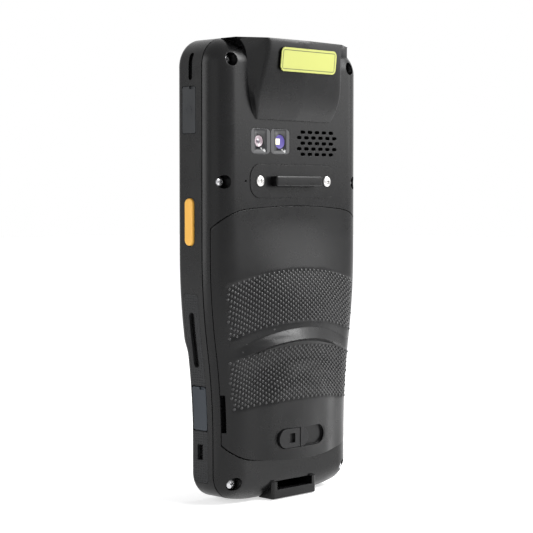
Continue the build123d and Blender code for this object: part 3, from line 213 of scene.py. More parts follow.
# what they share: a fine grain with cells in it, broad patches of gloss, and rubbed corners
grainLook = {"detail": 2.0, "rough": 0.6, "cells": 0.45, "cellScale": 0.6}
patchLook = {"scale": 95.0, "detail": 5.0, "rough": 0.62, "range": (0.3, 0.75), "glossiest": 0.02}
cornerLook = {"samples": 4, "gain": 3.0, "lift": 4, "base": 0.02}
finishes = {
    "shellPlastic": {},
    "coverPlastic": {"rough": 0.3, "grain": 0.24},
    # the dots' plastic is a lighter copy of the cover's: a painted highlight on the tops of the dots
    "studPlasticPaintedHighlight": {"rough": 0.3, "wear": 0.1, "level": 0.5, "colour": (0.010, 0.010, 0.0105)},
    "latchPlastic": {"colour": (0.008, 0.008, 0.0085), "rough": 0.42},
    "innerPlastic": {"colour": (0.005, 0.005, 0.0055), "rough": 0.55, "level": 0.2},
    "gripRubber": {"colour": (0.014, 0.0145, 0.0155), "rough": 0.62, "grain": 0.4, "depth": 0.03,
                   "level": 0.3},
    "doorRubber": {"colour": (0.013, 0.0145, 0.0165), "rough": 0.58, "grain": 0.35, "depth": 0.02,
                   "level": 0.3},
    "portRubber": {"colour": (0.030, 0.036, 0.044), "rough": 0.6, "grain": 0.3, "depth": 0.05, "level": 0.3},
    "gasketRubber": {"colour": (0.06, 0.06, 0.064), "rough": 0.6, "grain": 0.5},
    "packPlastic": {"colour": (0.022, 0.022, 0.025), "rough": 0.5, "grain": 0.3},
    "keyPlastic": {"colour": (0.010, 0.010, 0.0105), "rough": 0.4, "grain": 0.2, "depth": 0.006},
    "orangePlastic": {"colour": (0.96, 0.50, 0.07), "rough": 0.34, "grain": 0.2, "depth": 0.005,
                      "mottle": 0.05, "wear": 0.12, "level": 0.45},
    "windowGloss": {"colour": (0.010, 0.010, 0.012), "rough": 0.09, "swing": 0.05, "depth": 0.0, "wear": 0.15,
                    "level": 0.5},
    "scanGloss": {"colour": (0.05, 0.004, 0.006), "rough": 0.07, "swing": 0.05, "depth": 0.0, "level": 0.5},
    "touchGlass": {"colour": (0.004, 0.004, 0.005), "rough": 0.06, "swing": 0.05, "depth": 0.0, "level": 0.5,
                   "alpha": 0.72},
    "screenFilm": {"colour": (0.035, 0.04, 0.05), "rough": 0.3, "grain": 0.12, "depth": 0.002},
    "lensRing": {"colour": (0.34, 0.27, 0.30), "rough": 0.25, "grain": 0.1, "depth": 0.002, "level": 0.5},
    "lensGlass": {"colour": (0.035, 0.015, 0.04), "rough": 0.05, "swing": 0.03, "depth": 0.0, "level": 0.8,
                  "coat": 1.0},
    "flashDisc": {"colour": (0.085, 0.065, 0.26), "rough": 0.35, "swing": 0.1, "grain": 0.3, "depth": 0.004},
    "ledPhosphor": {"colour": (0.95, 0.90, 0.62), "rough": 0.5, "grain": 0.15, "depth": 0.006,
                    "mottle": 0.06},
    "brightZinc": {"colour": (0.56, 0.55, 0.54), "rough": 0.3, "metal": 1.0, "grain": 0.12, "depth": 0.003,
                   "mottle": 0.06, "wear": 0.1, "level": 0.5},
    "dullZinc": {"colour": (0.42, 0.42, 0.43), "rough": 0.26, "metal": 1.0, "grain": 0.12, "depth": 0.003,
                 "mottle": 0.1, "wear": 0.2, "level": 0.5},
    "giltPins": {"colour": (0.78, 0.54, 0.20), "rough": 0.25, "metal": 1.0, "grain": 0.15, "depth": 0.002,
                 "mottle": 0.08, "level": 0.5},
    "portNickel": {"colour": (0.6, 0.6, 0.59), "rough": 0.28, "metal": 1.0, "grain": 0.12, "depth": 0.003,
                   "mottle": 0.08, "level": 0.5},
    "meshWire": {"colour": (0.05, 0.05, 0.052), "rough": 0.45, "metal": 1.0, "depth": 0.03, "weave": 0.35,
                 "level": 0.5},
    "boardMask": {"colour": (0.008, 0.075, 0.03), "rough": 0.35, "grain": 0.5, "depth": 0.006, "level": 0.4},
    "labelPaper": {"colour": (0.44, 0.46, 0.125), "rough": 0.5, "grain": 0.18, "depth": 0.006, "mottle": 0.03,
                   "wear": 0.0, "level": 0.3},
    "labelInk": {"colour": (0.10, 0.11, 0.05), "rough": 0.5, "grain": 0.1, "depth": 0.003, "wear": 0.0},
    "legendInk": {"colour": (0.62, 0.63, 0.62), "rough": 0.45, "grain": 0.12, "depth": 0.003, "mottle": 0.05,
                  "wear": 0.0},
}


# settings are the node's own where it has them, else its sockets
def addNode(tree, kind, **settings):
    node = tree.nodes.new(kind)
    for key, value in settings.items():
        if hasattr(node, key):
            setattr(node, key, value)
        else:
            node.inputs[key.replace("_", " ")].default_value = value
    return node


def mathNode(tree, operation, first, second=None, third=None):
    node = addNode(tree, "ShaderNodeMath", operation=operation)
    for index, value in enumerate((first, second, third)):
        if value is None:
            continue
        if isinstance(value, (int, float)):
            node.inputs[index].default_value = value
        else:
            tree.links.new(value, node.inputs[index])
    return node.outputs[0]


# woven wire: two crossed waves on the object's own coordinates
def weaveHeight(tree, coords, pitch):
    split = addNode(tree, "ShaderNodeSeparateXYZ")
    tree.links.new(coords.outputs["Object"], split.inputs[0])
    turns = 2 * math.pi / (pitch * millimetre)
    across = mathNode(tree, "SINE", mathNode(tree, "MULTIPLY", split.outputs[0], turns))
    along = mathNode(tree, "SINE", mathNode(tree, "MULTIPLY", split.outputs[2], turns))
    return mathNode(tree, "MULTIPLY", across, along)


def makeFinish(name, changes):
    look = {**plainFinish, **changes}
    material = bpy.data.materials.new(name)
    material.use_nodes = True
    tree = material.node_tree
    shader = tree.nodes["Principled BSDF"]
    coords = addNode(tree, "ShaderNodeTexCoord")
    scale = 1 / (look["grain"] * millimetre)
    fine = addNode(tree, "ShaderNodeTexNoise", Scale=scale, Detail=grainLook["detail"],
                   Roughness=grainLook["rough"])
    broad = addNode(tree, "ShaderNodeTexNoise", Scale=patchLook["scale"], Detail=patchLook["detail"],
                    Roughness=patchLook["rough"])
    cells = addNode(tree, "ShaderNodeTexVoronoi", Scale=scale * grainLook["cellScale"])
    for texture in (fine, broad, cells):
        tree.links.new(coords.outputs["Object"], texture.inputs["Vector"])
    soft = addNode(tree, "ShaderNodeBevel", Radius=look["corner"] * millimetre, samples=cornerLook["samples"])
    bump = addNode(tree, "ShaderNodeBump", Strength=1.0, Distance=look["depth"] * millimetre)
    if look["weave"]:
        height = weaveHeight(tree, coords, look["weave"])
    else:
        height = mathNode(tree, "MULTIPLY_ADD", cells.outputs["Distance"], grainLook["cells"],
                          fine.outputs["Fac"])
    tree.links.new(height, bump.inputs["Height"])
    tree.links.new(soft.outputs[0], bump.inputs["Normal"])
    tree.links.new(bump.outputs[0], shader.inputs["Normal"])
    # corners are where the softened normal leaves the true one
    true = addNode(tree, "ShaderNodeNewGeometry")
    facing = addNode(tree, "ShaderNodeVectorMath", operation="DOT_PRODUCT")
    tree.links.new(soft.outputs[0], facing.inputs[0])
    tree.links.new(true.outputs["Normal"], facing.inputs[1])
    corner = mathNode(tree, "MULTIPLY", mathNode(tree, "SUBTRACT", 1.0, facing.outputs["Value"]),
                      cornerLook["gain"])
    worn = mathNode(tree, "MINIMUM", mathNode(tree, "MULTIPLY", corner, broad.outputs["Fac"]), 1.0)
    gloss = addNode(tree, "ShaderNodeMapRange")
    span = (look["rough"] - look["swing"] / 2, look["rough"] + look["swing"] / 2)
    for socket, value in zip(rangeSockets, patchLook["range"] + span):
        gloss.inputs[socket].default_value = max(patchLook["glossiest"], value)
    tree.links.new(broad.outputs["Fac"], gloss.inputs["Value"])
    tree.links.new(gloss.outputs[0], shader.inputs["Roughness"])
    tint = addNode(tree, "ShaderNodeMix", data_type="RGBA")
    for socket, share in (("first", 1 - look["mottle"]), ("second", 1 + look["mottle"])):
        colour = (*[min(1.0, part * share) for part in look["colour"]], 1)
        tint.inputs[mixSockets[socket]].default_value = colour
    tree.links.new(fine.outputs["Fac"], tint.inputs[0])
    polish = addNode(tree, "ShaderNodeMix", data_type="RGBA")
    lifted = [min(1.0, part * (1 + look["wear"] * cornerLook["lift"]) + cornerLook["base"] * look["wear"])
              for part in look["colour"]]
    polish.inputs[mixSockets["second"]].default_value = (*lifted, 1)
    tree.links.new(worn, polish.inputs[0])
    tree.links.new(tint.outputs[mixSockets["result"]], polish.inputs[mixSockets["first"]])
    tree.links.new(polish.outputs[mixSockets["result"]], shader.inputs["Base Color"])
    for socket, value in (("Metallic", look["metal"]), ("Specular IOR Level", look["level"]),
                          ("Coat Weight", look["coat"]), ("Alpha", look["alpha"])):
        shader.inputs[socket].default_value = value
    return material


materials = {name: makeFinish(name, changes) for name, changes in finishes.items()}
slotFinish = {
    "shell": "shellPlastic", "latch": "latchPlastic", "dark_window": "windowGloss",
    "inner_plastic": "innerPlastic", "led": "ledPhosphor", "screw": "brightZinc", "dark_screw": "dullZinc",
    "pack": "packPlastic", "contact": "giltPins", "gasket": "gasketRubber", "touch_glass": "touchGlass",
    "board": "boardMask", "mesh": "meshWire", "label": "labelPaper", "port_metal": "portNickel",
    "door": "doorRubber", "orange_key": "orangePlastic", "key": "keyPlastic",
}
nodeFinish = {"scan_window": "scanGloss", "port_door": "portRubber", "display_module": "screenFilm"}
reportStage("finishes")


# a piece with its finish, riding on a body
def finished(piece, body, material):
    piece.data.materials.clear()
    piece.data.materials.append(materials[material])
    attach(piece, body)
    return piece


sharpAngle = 32


# faces shade smooth, but for the edges between faces that turn by the angle or more
def markSharp(form, angle=sharpAngle):
    for face in form.faces:
        face.smooth = True
    for edge in form.edges:
        if len(edge.link_faces) == 2:
            edge.smooth = edge.calc_face_angle(0) < math.radians(angle)


# a welded copy of a node's mesh, shaded smooth between its real corners
def weldedCopy(node, name):
    mesh = frame["nodes"][node].data.copy()
    form = bmesh.new()
    form.from_mesh(mesh)
    bmesh.ops.remove_doubles(form, verts=form.verts, dist=weldReach)
    bmesh.ops.dissolve_degenerate(form, edges=form.edges, dist=thinEdge)
    markSharp(form)
    form.to_mesh(mesh)
    form.free()
    return linked(name, mesh)


# the piece's modifiers worked into a plain mesh
def settle(piece):
    graph = bpy.context.evaluated_depsgraph_get()
    mesh = bpy.data.meshes.new_from_object(piece.evaluated_get(graph))
    piece.modifiers.clear()
    piece.data = mesh


def cutAway(piece, cutter):
    cut = piece.modifiers.new("cut", "BOOLEAN")
    cut.operation = "DIFFERENCE"
    cut.solver = "EXACT"
    cut.object = cutter
    settle(piece)
    bpy.data.objects.remove(cutter)
    return piece


def meshPiece(name, points, faces):
    mesh = bpy.data.meshes.new(name)
    mesh.from_pydata([tuple(point) for point in points], [], faces)
    return linked(name, mesh)


def facedOut(piece):
    form = bmesh.new()
    form.from_mesh(piece.data)
    bmesh.ops.recalc_face_normals(form, faces=form.faces)
    form.to_mesh(piece.data)
    form.free()
    return piece


# a block between two corners in the case's millimetres, with rounded edges
def roundedBlock(name, look):
    form = bmesh.new()
    bmesh.ops.create_cube(form, size=1.0)
    for vert in form.verts:
        vert.co = casePoint(*[look["high" if vert.co[axis] > 0 else "low"][axis] for axis in range(3)])
    bmesh.ops.bevel(form, geom=form.edges, offset=look["edge"] * millimetre, segments=look["segments"],
                    profile=0.5, affect="EDGES")
    markSharp(form, look["sharp"])
    return formPiece(name, form)


# a closed solid turned about the +Y axis through a centre, from (radius, height) pairs, tip first
def turnedForm(name, profile, centre, sides):
    form = bmesh.new()
    rings = []
    for radius, height in profile:
        ring = []
        for step in range(sides):
            turn = 2 * math.pi * step / sides
            offset = Vector((radius * math.cos(turn), height, radius * math.sin(turn))) * millimetre
            ring.append(form.verts.new(centre + offset))
        rings.append(ring)
    for upper, lower in zip(rings, rings[1:]):
        for step in range(sides):
            after = (step + 1) % sides
            form.faces.new((upper[step], upper[after], lower[after], lower[step]))
    form.faces.new(rings[0])
    form.faces.new(rings[-1])
    bmesh.ops.recalc_face_normals(form, faces=form.faces)
    markSharp(form)
    return formPiece(name, form)


# an empty tree of geometry nodes that grows something on the points it is given
def startTree(name, inputs):
    tree = bpy.data.node_groups.new(name, "GeometryNodeTree")
    for label, kind in inputs:
        tree.interface.new_socket(name=label, in_out="INPUT", socket_type="NodeSocket" + kind)
    tree.interface.new_socket(name="Grown", in_out="OUTPUT", socket_type="NodeSocketGeometry")
    return tree, tree.nodes.new("NodeGroupInput"), tree.nodes.new("NodeGroupOutput")


def joinNodes(tree, links):
    for source, target in links:
        tree.links.new(source, target)


rayLength = 0.1                # metres


# a stud on each point of a seed mesh, dropped along a direction onto a surface
def studTree():
    tree, start, end = startTree("studsOnSurface", (
        ("Points", "Geometry"), ("Surface", "Object"), ("Stud", "Object"), ("Aim", "Vector"),
        ("Stud Size", "Vector"), ("Least Facing", "Float"), ("Material", "Material")))
    surface, stud = (tree.nodes.new("GeometryNodeObjectInfo") for _ in range(2))
    ray = addNode(tree, "GeometryNodeRaycast", Ray_Length=rayLength)
    keep = addNode(tree, "GeometryNodeStoreNamedAttribute", data_type="FLOAT_VECTOR", Name="lift")
    facing = addNode(tree, "ShaderNodeVectorMath", operation="DOT_PRODUCT")
    least = mathNode(tree, "MULTIPLY", start.outputs["Least Facing"], -1.0)
    turned = mathNode(tree, "GREATER_THAN", facing.outputs["Value"], least)
    missed = mathNode(tree, "SUBTRACT", 1.0, ray.outputs["Is Hit"])
    drop = addNode(tree, "GeometryNodeDeleteGeometry")
    move = addNode(tree, "GeometryNodeSetPosition")
    lift = addNode(tree, "GeometryNodeInputNamedAttribute", data_type="FLOAT_VECTOR", Name="lift")
    align = addNode(tree, "FunctionNodeAlignRotationToVector", axis="Z")
    spread = addNode(tree, "GeometryNodeInstanceOnPoints")
    real = addNode(tree, "GeometryNodeRealizeInstances")
    paint = addNode(tree, "GeometryNodeSetMaterial")
    joinNodes(tree, (
        (start.outputs["Surface"], surface.inputs["Object"]),
        (start.outputs["Stud"], stud.inputs["Object"]),
        (surface.outputs["Geometry"], ray.inputs["Target Geometry"]),
        (start.outputs["Aim"], ray.inputs["Ray Direction"]),
        (start.outputs["Points"], keep.inputs["Geometry"]),
        (ray.outputs["Hit Normal"], keep.inputs["Value"]),
        (ray.outputs["Hit Normal"], facing.inputs[0]),
        (start.outputs["Aim"], facing.inputs[1]),
        (keep.outputs[0], drop.inputs["Geometry"]),
        (mathNode(tree, "MAXIMUM", turned, missed), drop.inputs["Selection"]),
        (drop.outputs[0], move.inputs["Geometry"]),
        (ray.outputs["Hit Position"], move.inputs["Position"]),
        (move.outputs[0], spread.inputs["Points"]),
        (stud.outputs["Geometry"], spread.inputs["Instance"]),
        (lift.outputs["Attribute"], align.inputs["Vector"]),
        (align.outputs[0], spread.inputs["Rotation"]),
        (start.outputs["Stud Size"], spread.inputs["Scale"]),
        (spread.outputs[0], real.inputs[0]),
        (real.outputs[0], paint.inputs["Geometry"]),
        (start.outputs["Material"], paint.inputs["Material"]),
        (paint.outputs[0], end.inputs[0])))
    return tree


# one shape on every point of a seed mesh
def rowTree():
    tree, start, end = startTree("shapeOnPoints", (
        ("Points", "Geometry"), ("Shape", "Object"), ("Size", "Float"), ("Material", "Material")))
    shape = tree.nodes.new("GeometryNodeObjectInfo")
    spread = addNode(tree, "GeometryNodeInstanceOnPoints")
    real = addNode(tree, "GeometryNodeRealizeInstances")
    paint = addNode(tree, "GeometryNodeSetMaterial")
    joinNodes(tree, (
        (start.outputs["Shape"], shape.inputs["Object"]),
        (start.outputs["Points"], spread.inputs["Points"]),
        (shape.outputs["Geometry"], spread.inputs["Instance"]),
        (start.outputs["Size"], spread.inputs["Scale"]),
        (spread.outputs[0], real.inputs[0]),
        (real.outputs[0], paint.inputs["Geometry"]),
        (start.outputs["Material"], paint.inputs["Material"]),
        (paint.outputs[0], end.inputs[0])))
    return tree


studNodes, rowNodes = studTree(), rowTree()


# a seed mesh run through a tree, then kept as a plain mesh
def grown(name, seeds, tree, values):
    piece = meshPiece(name, seeds, [])
    modifier = piece.modifiers.new("pattern", "NODES")
    modifier.node_group = tree
    for item in tree.interface.items_tree:
        if item.in_out == "INPUT" and item.name in values:
            modifier[item.identifier] = values[item.name]
    settle(piece)
    if "lift" in piece.data.attributes:
        piece.data.attributes.remove(piece.data.attributes["lift"])
    return piece


# studs are made once, one unit across and high, and sunk a little into the face they stand on
studShapes = {"domeStud": {"sides": 8, "turn": 0.0, "sharp": 50,
                           "rings": ((0.5, -0.4), (0.5, 0.0), (0.4, 0.55), (0.2, 0.92))},
              "squareStud": {"sides": 4, "turn": 0.25 * math.pi, "sharp": 50,
                             "rings": ((0.66, -0.4), (0.66, 0.0), (0.48, 1.0))}}


def studShape(name, look):
    form = bmesh.new()
    rings = []
    for radius, height in look["rings"]:
        turns = [look["turn"] + 2 * math.pi * step / look["sides"] for step in range(look["sides"])]
        rings.append([form.verts.new((radius * math.cos(turn), radius * math.sin(turn), height))
                      for turn in turns])
    for lower, upper in zip(rings, rings[1:]):
        for step in range(look["sides"]):
            after = (step + 1) % look["sides"]
            form.faces.new((lower[step], lower[after], upper[after], upper[step]))
    form.faces.new(list(reversed(rings[0])))
    form.faces.new(rings[-1])
    markSharp(form, look["sharp"])
    return formPiece(name, form)


# a piece of studs standing on another piece, whose seeds start clear of it
def studded(name, seeds, surface, stud, aim, look, material):
    size = Vector((look["width"], look["width"], look["height"])) * millimetre
    return grown(name, seeds, studNodes,
                 {"Surface": surface, "Stud": stud, "Aim": aim, "Stud Size": size,
                  "Least Facing": look["facing"], "Material": materials[material]})


# battery cover: raised dots in two bands, whose rows follow the arches of the grip; an edge of a band
# is its height at the middle and its fall with the square of the way out
gripDots = {"width": 1.25, "height": 0.46, "pitch": 2.45, "edge": 4.6, "fan": 0.06, "facing": 0.3,
            "start": 20, "spare": 4,
            "bands": ({"low": (66.2, 0.0054), "high": (85.6, 0.0046), "rows": 22},
                      {"low": (36.9, 0.0028), "high": (57.0, 0.0046), "rows": 22})}
caseSides = {"foot": 34.6, "top": 40.0, "taper": (22.0, 92.0)}
# the soft ridge the cover is made with, and the crisp one it is carved to: a flat slope above its crest
ridgeMade = {"height": 2.3, "middle": 61.5, "arch": 0.0062, "above": 6.5, "below": 2.7}
ridgeSeen = {"height": 2.3, "middle": 59.5, "arch": 0.0074, "above": 4.2, "below": 1.3}
# faint waves across the lower band
ripples = ({"height": 0.42, "middle": 48.2, "width": 2.1}, {"height": -0.38, "middle": 52.2, "width": 2.0},
           {"height": -0.30, "middle": 44.2, "width": 2.2})
rippleSpread = {"x": -5, "width": 15, "arch": 0.006}
# the part of the cover's skin that is carved, and how, in millimetres but for the counts and shares
skinArea = {"z": (30, 92), "half": 37, "deepest": -3, "inside": 1, "facing": 0.25, "edge": 0.9,
            "fineEdge": 0.42, "fine": 5.5, "passes": 6, "weld": 0.12, "reach": 3.5, "fade": 1.2,
            "recess": 0.28, "step": 0.5, "relax": 10, "soften": 0.5, "snap": 0.2, "crisp": 0.7, "sharp": 60}


def halfWidth(z):
    low, high = caseSides["taper"]
    share = min(1.0, max(0.0, (z - low) / (high - low)))
    return caseSides["foot"] + (caseSides["top"] - caseSides["foot"]) * share


def bandEdges(band, x):
    return (height - fall * x * x for height, fall in (band["low"], band["high"]))


def gripDotSeeds(look):
    seeds = []
    count = int(2 * caseSides["top"] / look["pitch"]) + look["spare"]
    for band in look["bands"]:
        for row in range(band["rows"]):
            share = (row + 0.5) / band["rows"]
            for column in range(-count // 2, count // 2 + 1):
                x = (column + 0.5 * (row % 2)) * look["pitch"] * (1 + look["fan"] * (0.5 - share))
                low, high = bandEdges(band, x)
                z = low + (high - low) * share
                if abs(x) < halfWidth(z) - look["edge"]:
                    seeds.append(casePoint(x, look["start"], z))
    return seeds


# millimetres above the arched crest of a ridge
def aboveCrest(look, x, z):
    return z - (look["middle"] - look["arch"] * x * x)


# a ridge dies away towards the sides of the cover
def ridgeShare(x, z):
    return max(0.0, 1 - (x / (halfWidth(z) - skinArea["reach"])) ** 2) ** skinArea["fade"]


def eased(share):
    share = min(1.0, max(0.0, share))
    return share * share * (3 - 2 * share)


def madeRidge(x, z):
    over = aboveCrest(ridgeMade, x, z)
    width = ridgeMade["above"] if over > 0 else ridgeMade["below"]
    return ridgeMade["height"] * ridgeShare(x, z) * math.exp(-(over / width) ** 2)


def seenRidge(x, z):
    over = aboveCrest(ridgeSeen, x, z)
    share = max(0.0, 1 - over / ridgeSeen["above"]) if over > 0 else eased(1 + over / ridgeSeen["below"])
    return ridgeSeen["height"] * ridgeShare(x, z) * share


def rippleHeight(x, z):
    spread = math.exp(-((x - rippleSpread["x"]) / rippleSpread["width"]) ** 2)
    level = z + rippleSpread["arch"] * x * x
    return spread * sum(ripple["height"] * math.exp(-((level - ripple["middle"]) / ripple["width"]) ** 2)
                        for ripple in ripples)


# the dotted bands lie a little below the skin round them, with soft edges
def bandDepth(x, z):
    depth = 0.0
    for band in gripDots["bands"]:
        low, high = bandEdges(band, x)
        inside = min(z - low, high - z, halfWidth(z) - gripDots["edge"] - abs(x)) + skinArea["step"]
        depth = max(depth, eased(inside / skinArea["step"] / 2))
    return depth * skinArea["recess"]


def overGrip(x, z):
    return abs(x) < skinArea["half"] and skinArea["z"][0] < z < skinArea["z"][1]


def onSkin(vert):
    x, y, z = casePlace(vert)
    return overGrip(x, z) and y > skinArea["deepest"] and any(
        face.normal.y > skinArea["facing"] for face in vert.link_faces)


def fromCrest(vert):
    x, _, z = casePlace(vert)
    return abs(aboveCrest(ridgeSeen, x, z))


def tooLong(edge):
    near = fromCrest(edge.verts[0]) < skinArea["fine"]
    return edge.calc_length() > (skinArea["fineEdge"] if near else skinArea["edge"]) * millimetre


# the skin over the grip cut into small even triangles, finest round the crest
def divideSkin(form):
    for _ in range(skinArea["passes"]):
        long = [edge for edge in form.edges if tooLong(edge) and all(onSkin(vert) for vert in edge.verts)
                and all(face.normal.y > skinArea["facing"] for face in edge.link_faces)]
        bmesh.ops.subdivide_edges(form, edges=long, cuts=1)
        bmesh.ops.triangulate(form, faces=[face for face in form.faces if len(face.verts) > 3])
    bmesh.ops.remove_doubles(form, verts=[vert for vert in form.verts if onSkin(vert)],
                             dist=skinArea["weld"] * millimetre)
    form.normal_update()


def relaxSkin(form, verts):
    bmesh.ops.smooth_vert(form, verts=verts, factor=skinArea["soften"], use_axis_x=True, use_axis_y=True,
                          use_axis_z=True)


# the made ridge taken off the cover's outer skin and the seen one put on, with ripples and sunk bands
def carvedCover(piece):
    form = bmesh.new()
    form.from_mesh(piece.data)
    divideSkin(form)
    skin = [vert for vert in form.verts if onSkin(vert)]
    inner = [vert for vert in skin if all(onSkin(edge.other_vert(vert)) for edge in vert.link_edges)]
    outer = set(skin)
    patch = [face for face in form.faces if all(vert in outer for vert in face.verts)]
    inside = set(patch)
    seams = [edge for edge in form.edges
             if edge.link_faces and all(face in inside for face in edge.link_faces)]
    bmesh.ops.beautify_fill(form, faces=patch, edges=seams, method="ANGLE")
    # the wall behind the skin goes down with it
    for vert in form.verts:
        x, y, z = casePlace(vert)
        if vert not in outer and y > skinArea["inside"] and overGrip(x, z):
            vert.co.y -= max(0.0, madeRidge(x, z) - seenRidge(x, z)) * millimetre
    for vert in skin:
        x, _, z = casePlace(vert)
        vert.co.y -= madeRidge(x, z) * millimetre
    for _ in range(skinArea["relax"]):
        relaxSkin(form, inner)
    for vert in skin:
        x, _, z = casePlace(vert)
        over = aboveCrest(ridgeSeen, x, z)
        if abs(over) < skinArea["snap"]:
            vert.co.z -= over * millimetre
            z -= over
        vert.co.y += (seenRidge(x, z) + rippleHeight(x, z) - bandDepth(x, z)) * millimetre
    relaxSkin(form, [vert for vert in inner if fromCrest(vert) > skinArea["crisp"]])
    form.normal_update()
    markSharp(form, skinArea["sharp"])
    form.to_mesh(piece.data)
    form.free()
    return piece


domeStud, squareStud = (studShape(name, look) for name, look in studShapes.items())
coverForm = carvedCover(weldedCopy("battery_cover", "batteryCoverForm"))
finished(coverForm, "cover", "coverPlastic")
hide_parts("battery_cover")
# the dots take the lighter copy of the cover's plastic, a painted highlight on their tops
dots = studded("batteryCoverDots", gripDotSeeds(gripDots), coverForm, domeStud, (0, -1, 0), gripDots,
               "studPlasticPaintedHighlight")
finished(dots, "cover", "studPlasticPaintedHighlight")
reportStage("battery cover, %d faces of dots" % len(dots.data.polygons))


# side grips: fine square studs over the whole pad
gripStuds = {"width": 0.56, "height": 0.13, "pitch": 0.92, "y": (-18.2, -11.4), "z": (7.2, 76.4),
             "facing": 0.5, "start": 50}
gripPads = {"side_grip_left": -1, "side_grip_upper_right": 1, "side_grip_lower_right": 1}


def gripStudSeeds(look, side):
    rows = int((look["z"][1] - look["z"][0]) / look["pitch"])
    columns = int((look["y"][1] - look["y"][0]) / look["pitch"])
    middle = sum(look["y"]) / 2
    return [casePoint(side * look["start"], middle + (column - columns / 2) * look["pitch"],
                      look["z"][0] + row * look["pitch"])
            for row in range(rows + 1) for column in range(columns + 1)]


for node, side in gripPads.items():
    pad = finished(weldedCopy(node, node + "_pad"), bodyOf[node], "gripRubber")
    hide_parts(node)
    studs = studded(node + "_studs", gripStudSeeds(gripStuds, side), pad, squareStud, (-side, 0, 0),
                    gripStuds, "gripRubber")
    finished(studs, bodyOf[node], "gripRubber")
for shape in (domeStud, squareStud):
    bpy.data.objects.remove(shape)
reportStage("side grips")


# the scan window frame shows beyond the far end of the hood
frameEnd = {"low": (-24.7, 0.5, 166.2), "high": (-20.9, 5.0, 170.6), "edge": 0.35, "segments": 3,
            "sharp": sharpAngle}
finished(roundedBlock("scanFrameEnd", frameEnd), bodyOf["rear_shell"], "shellPlastic")


# screws: a pan head with a tapered cross recess, in shares of its radius and height, on its shank
screwHead = {"crown": ((0.04, 1.0), (0.45, 0.97), (0.72, 0.86), (0.90, 0.66), (1.0, 0.36), (1.0, 0.0)),
             "cross": (0.15, 0.62), "taper": 0.5, "sunk": 0.8, "sides": 36}
screwSets = {
    "strap_screws": {"radius": 2.0, "height": 0.8, "shank": (1.0, 1.6), "face": 0.2,
                     "places": ((18.23, 118.7), (-18.23, 118.7))},
    "case_screws": {"radius": 2.2, "height": 1.5, "shank": (1.2, 8.7), "face": -4.8,
                    "places": tuple((side * x, z) for x, z in ((32.1, 162.9), (35.2, 118.3), (29.5, 6.9))
                                    for side in (1, -1))},
}


# a cross that narrows downwards, its foot inside the head
def crossCutter(radius, height, look):
    width, reach = (part * radius for part in look["cross"])
    outline = []
    for quarter in range(4):
        turn = quarter * math.pi / 2
        for along, across in ((reach, -width), (reach, width), (width, width)):
            outline.append((along * math.cos(turn) - across * math.sin(turn),
                            along * math.sin(turn) + across * math.cos(turn)))
    points = [Vector((x, 2 * height, z)) * millimetre for x, z in outline]
    points += [Vector((x * look["taper"], height * (1 - look["sunk"]), z * look["taper"])) * millimetre
               for x, z in outline]
    count = len(outline)
    faces = [tuple(range(count)), tuple(reversed(range(count, 2 * count)))]
    faces += [(step + count, (step + 1) % count + count, (step + 1) % count, step) for step in range(count)]
    return meshPiece("crossCutter", points, faces)


def screwShape(name, look):
    crown = [(radius * look["radius"], height * look["height"]) for radius, height in screwHead["crown"]]
    shank = [(look["shank"][0], 0.0), (look["shank"][0], -look["shank"][1])]
    head = turnedForm(name + "Shape", crown + shank, Vector((0, 0, 0)), screwHead["sides"])
    return cutAway(head, facedOut(crossCutter(look["radius"], look["height"], screwHead)))


for node, look in screwSets.items():
    shape = screwShape(node, look)
    finish = slotFinish[slotOf[node]]
    seeds = [casePoint(x, look["face"], z) for x, z in look["places"]]
    screws = grown(node + "_phillips", seeds, rowNodes,
                   {"Shape": shape, "Size": 1.0, "Material": materials[finish]})
    finished(screws, bodyOf[node], finish)
    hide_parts(node)
    bpy.data.objects.remove(shape)
reportStage("screws")


# camera and flash: a bored window over a stepped lens ring, and over the lamp in its disc
opticLook = {
    "camera_window": {"centre": (18.6, 133.45), "bore": 2.3, "parts": {
        "cameraLensRing": ("lensRing", ((0.9, -0.62), (1.25, -0.5), (1.7, -0.24), (2.02, -0.2), (2.18, -0.3),
                                        (2.18, -1.05))),
        "cameraLens": ("lensGlass", ((0.05, -0.34), (0.4, -0.37), (0.75, -0.48), (0.98, -0.62),
                                     (0.98, -1.05)))}},
    "flash_window": {"centre": (7.4, 133.45), "bore": 2.72, "parts": {
        "flashDisc": ("flashDisc", ((0.05, -0.42), (1.6, -0.42), (2.3, -0.32), (2.6, -0.24), (2.6, -1.05)))}},
}
opticSides = 40
boreLook = {"top": 1.0, "foot": -2.0, "sides": 48}
flashLamp = {"low": (7.4, -1.05, 132.3), "high": (9.7, -0.2, 134.6), "edge": 0.15, "segments": 2, "sharp": 40}

for node, look in opticLook.items():
    x, z = look["centre"]
    bore = ((look["bore"], boreLook["top"]), (look["bore"], boreLook["foot"]))
    cutter = turnedForm("boreCutter", bore, casePoint(x, 0, z), boreLook["sides"])
    window = cutAway(weldedCopy(node, node + "_bored"), cutter)
    finished(window, bodyOf[node], "windowGloss")
    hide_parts(node)
    for name, (material, profile) in look["parts"].items():
        part = turnedForm(name, profile, casePoint(x, 0, z), opticSides)
        finished(part, "body", material)
finished(roundedBlock("flashPhosphor", flashLamp), "body", "ledPhosphor")
reportStage("camera and flash")


# flat marks: closed outlines stamped a hair proud of a face
faceAxes = {"front": ((1, 0, 0), (0, 0, 1), (0, -1, 0)), "right": ((0, 1, 0), (0, 0, 1), (1, 0, 0)),
            "left": ((0, -1, 0), (0, 0, 1), (-1, 0, 0))}
markLook = {"proud": 0.03, "sunk": 0.12, "arcSteps": 20}


# a piece made flat in X and Y, stood up at its centre along three axes
def placed(piece, centre, axes):
    turned = Matrix([Vector(axis) for axis in axes]).transposed().to_4x4()
    piece.data.transform(Matrix.Translation(centre) @ turned)
    return piece


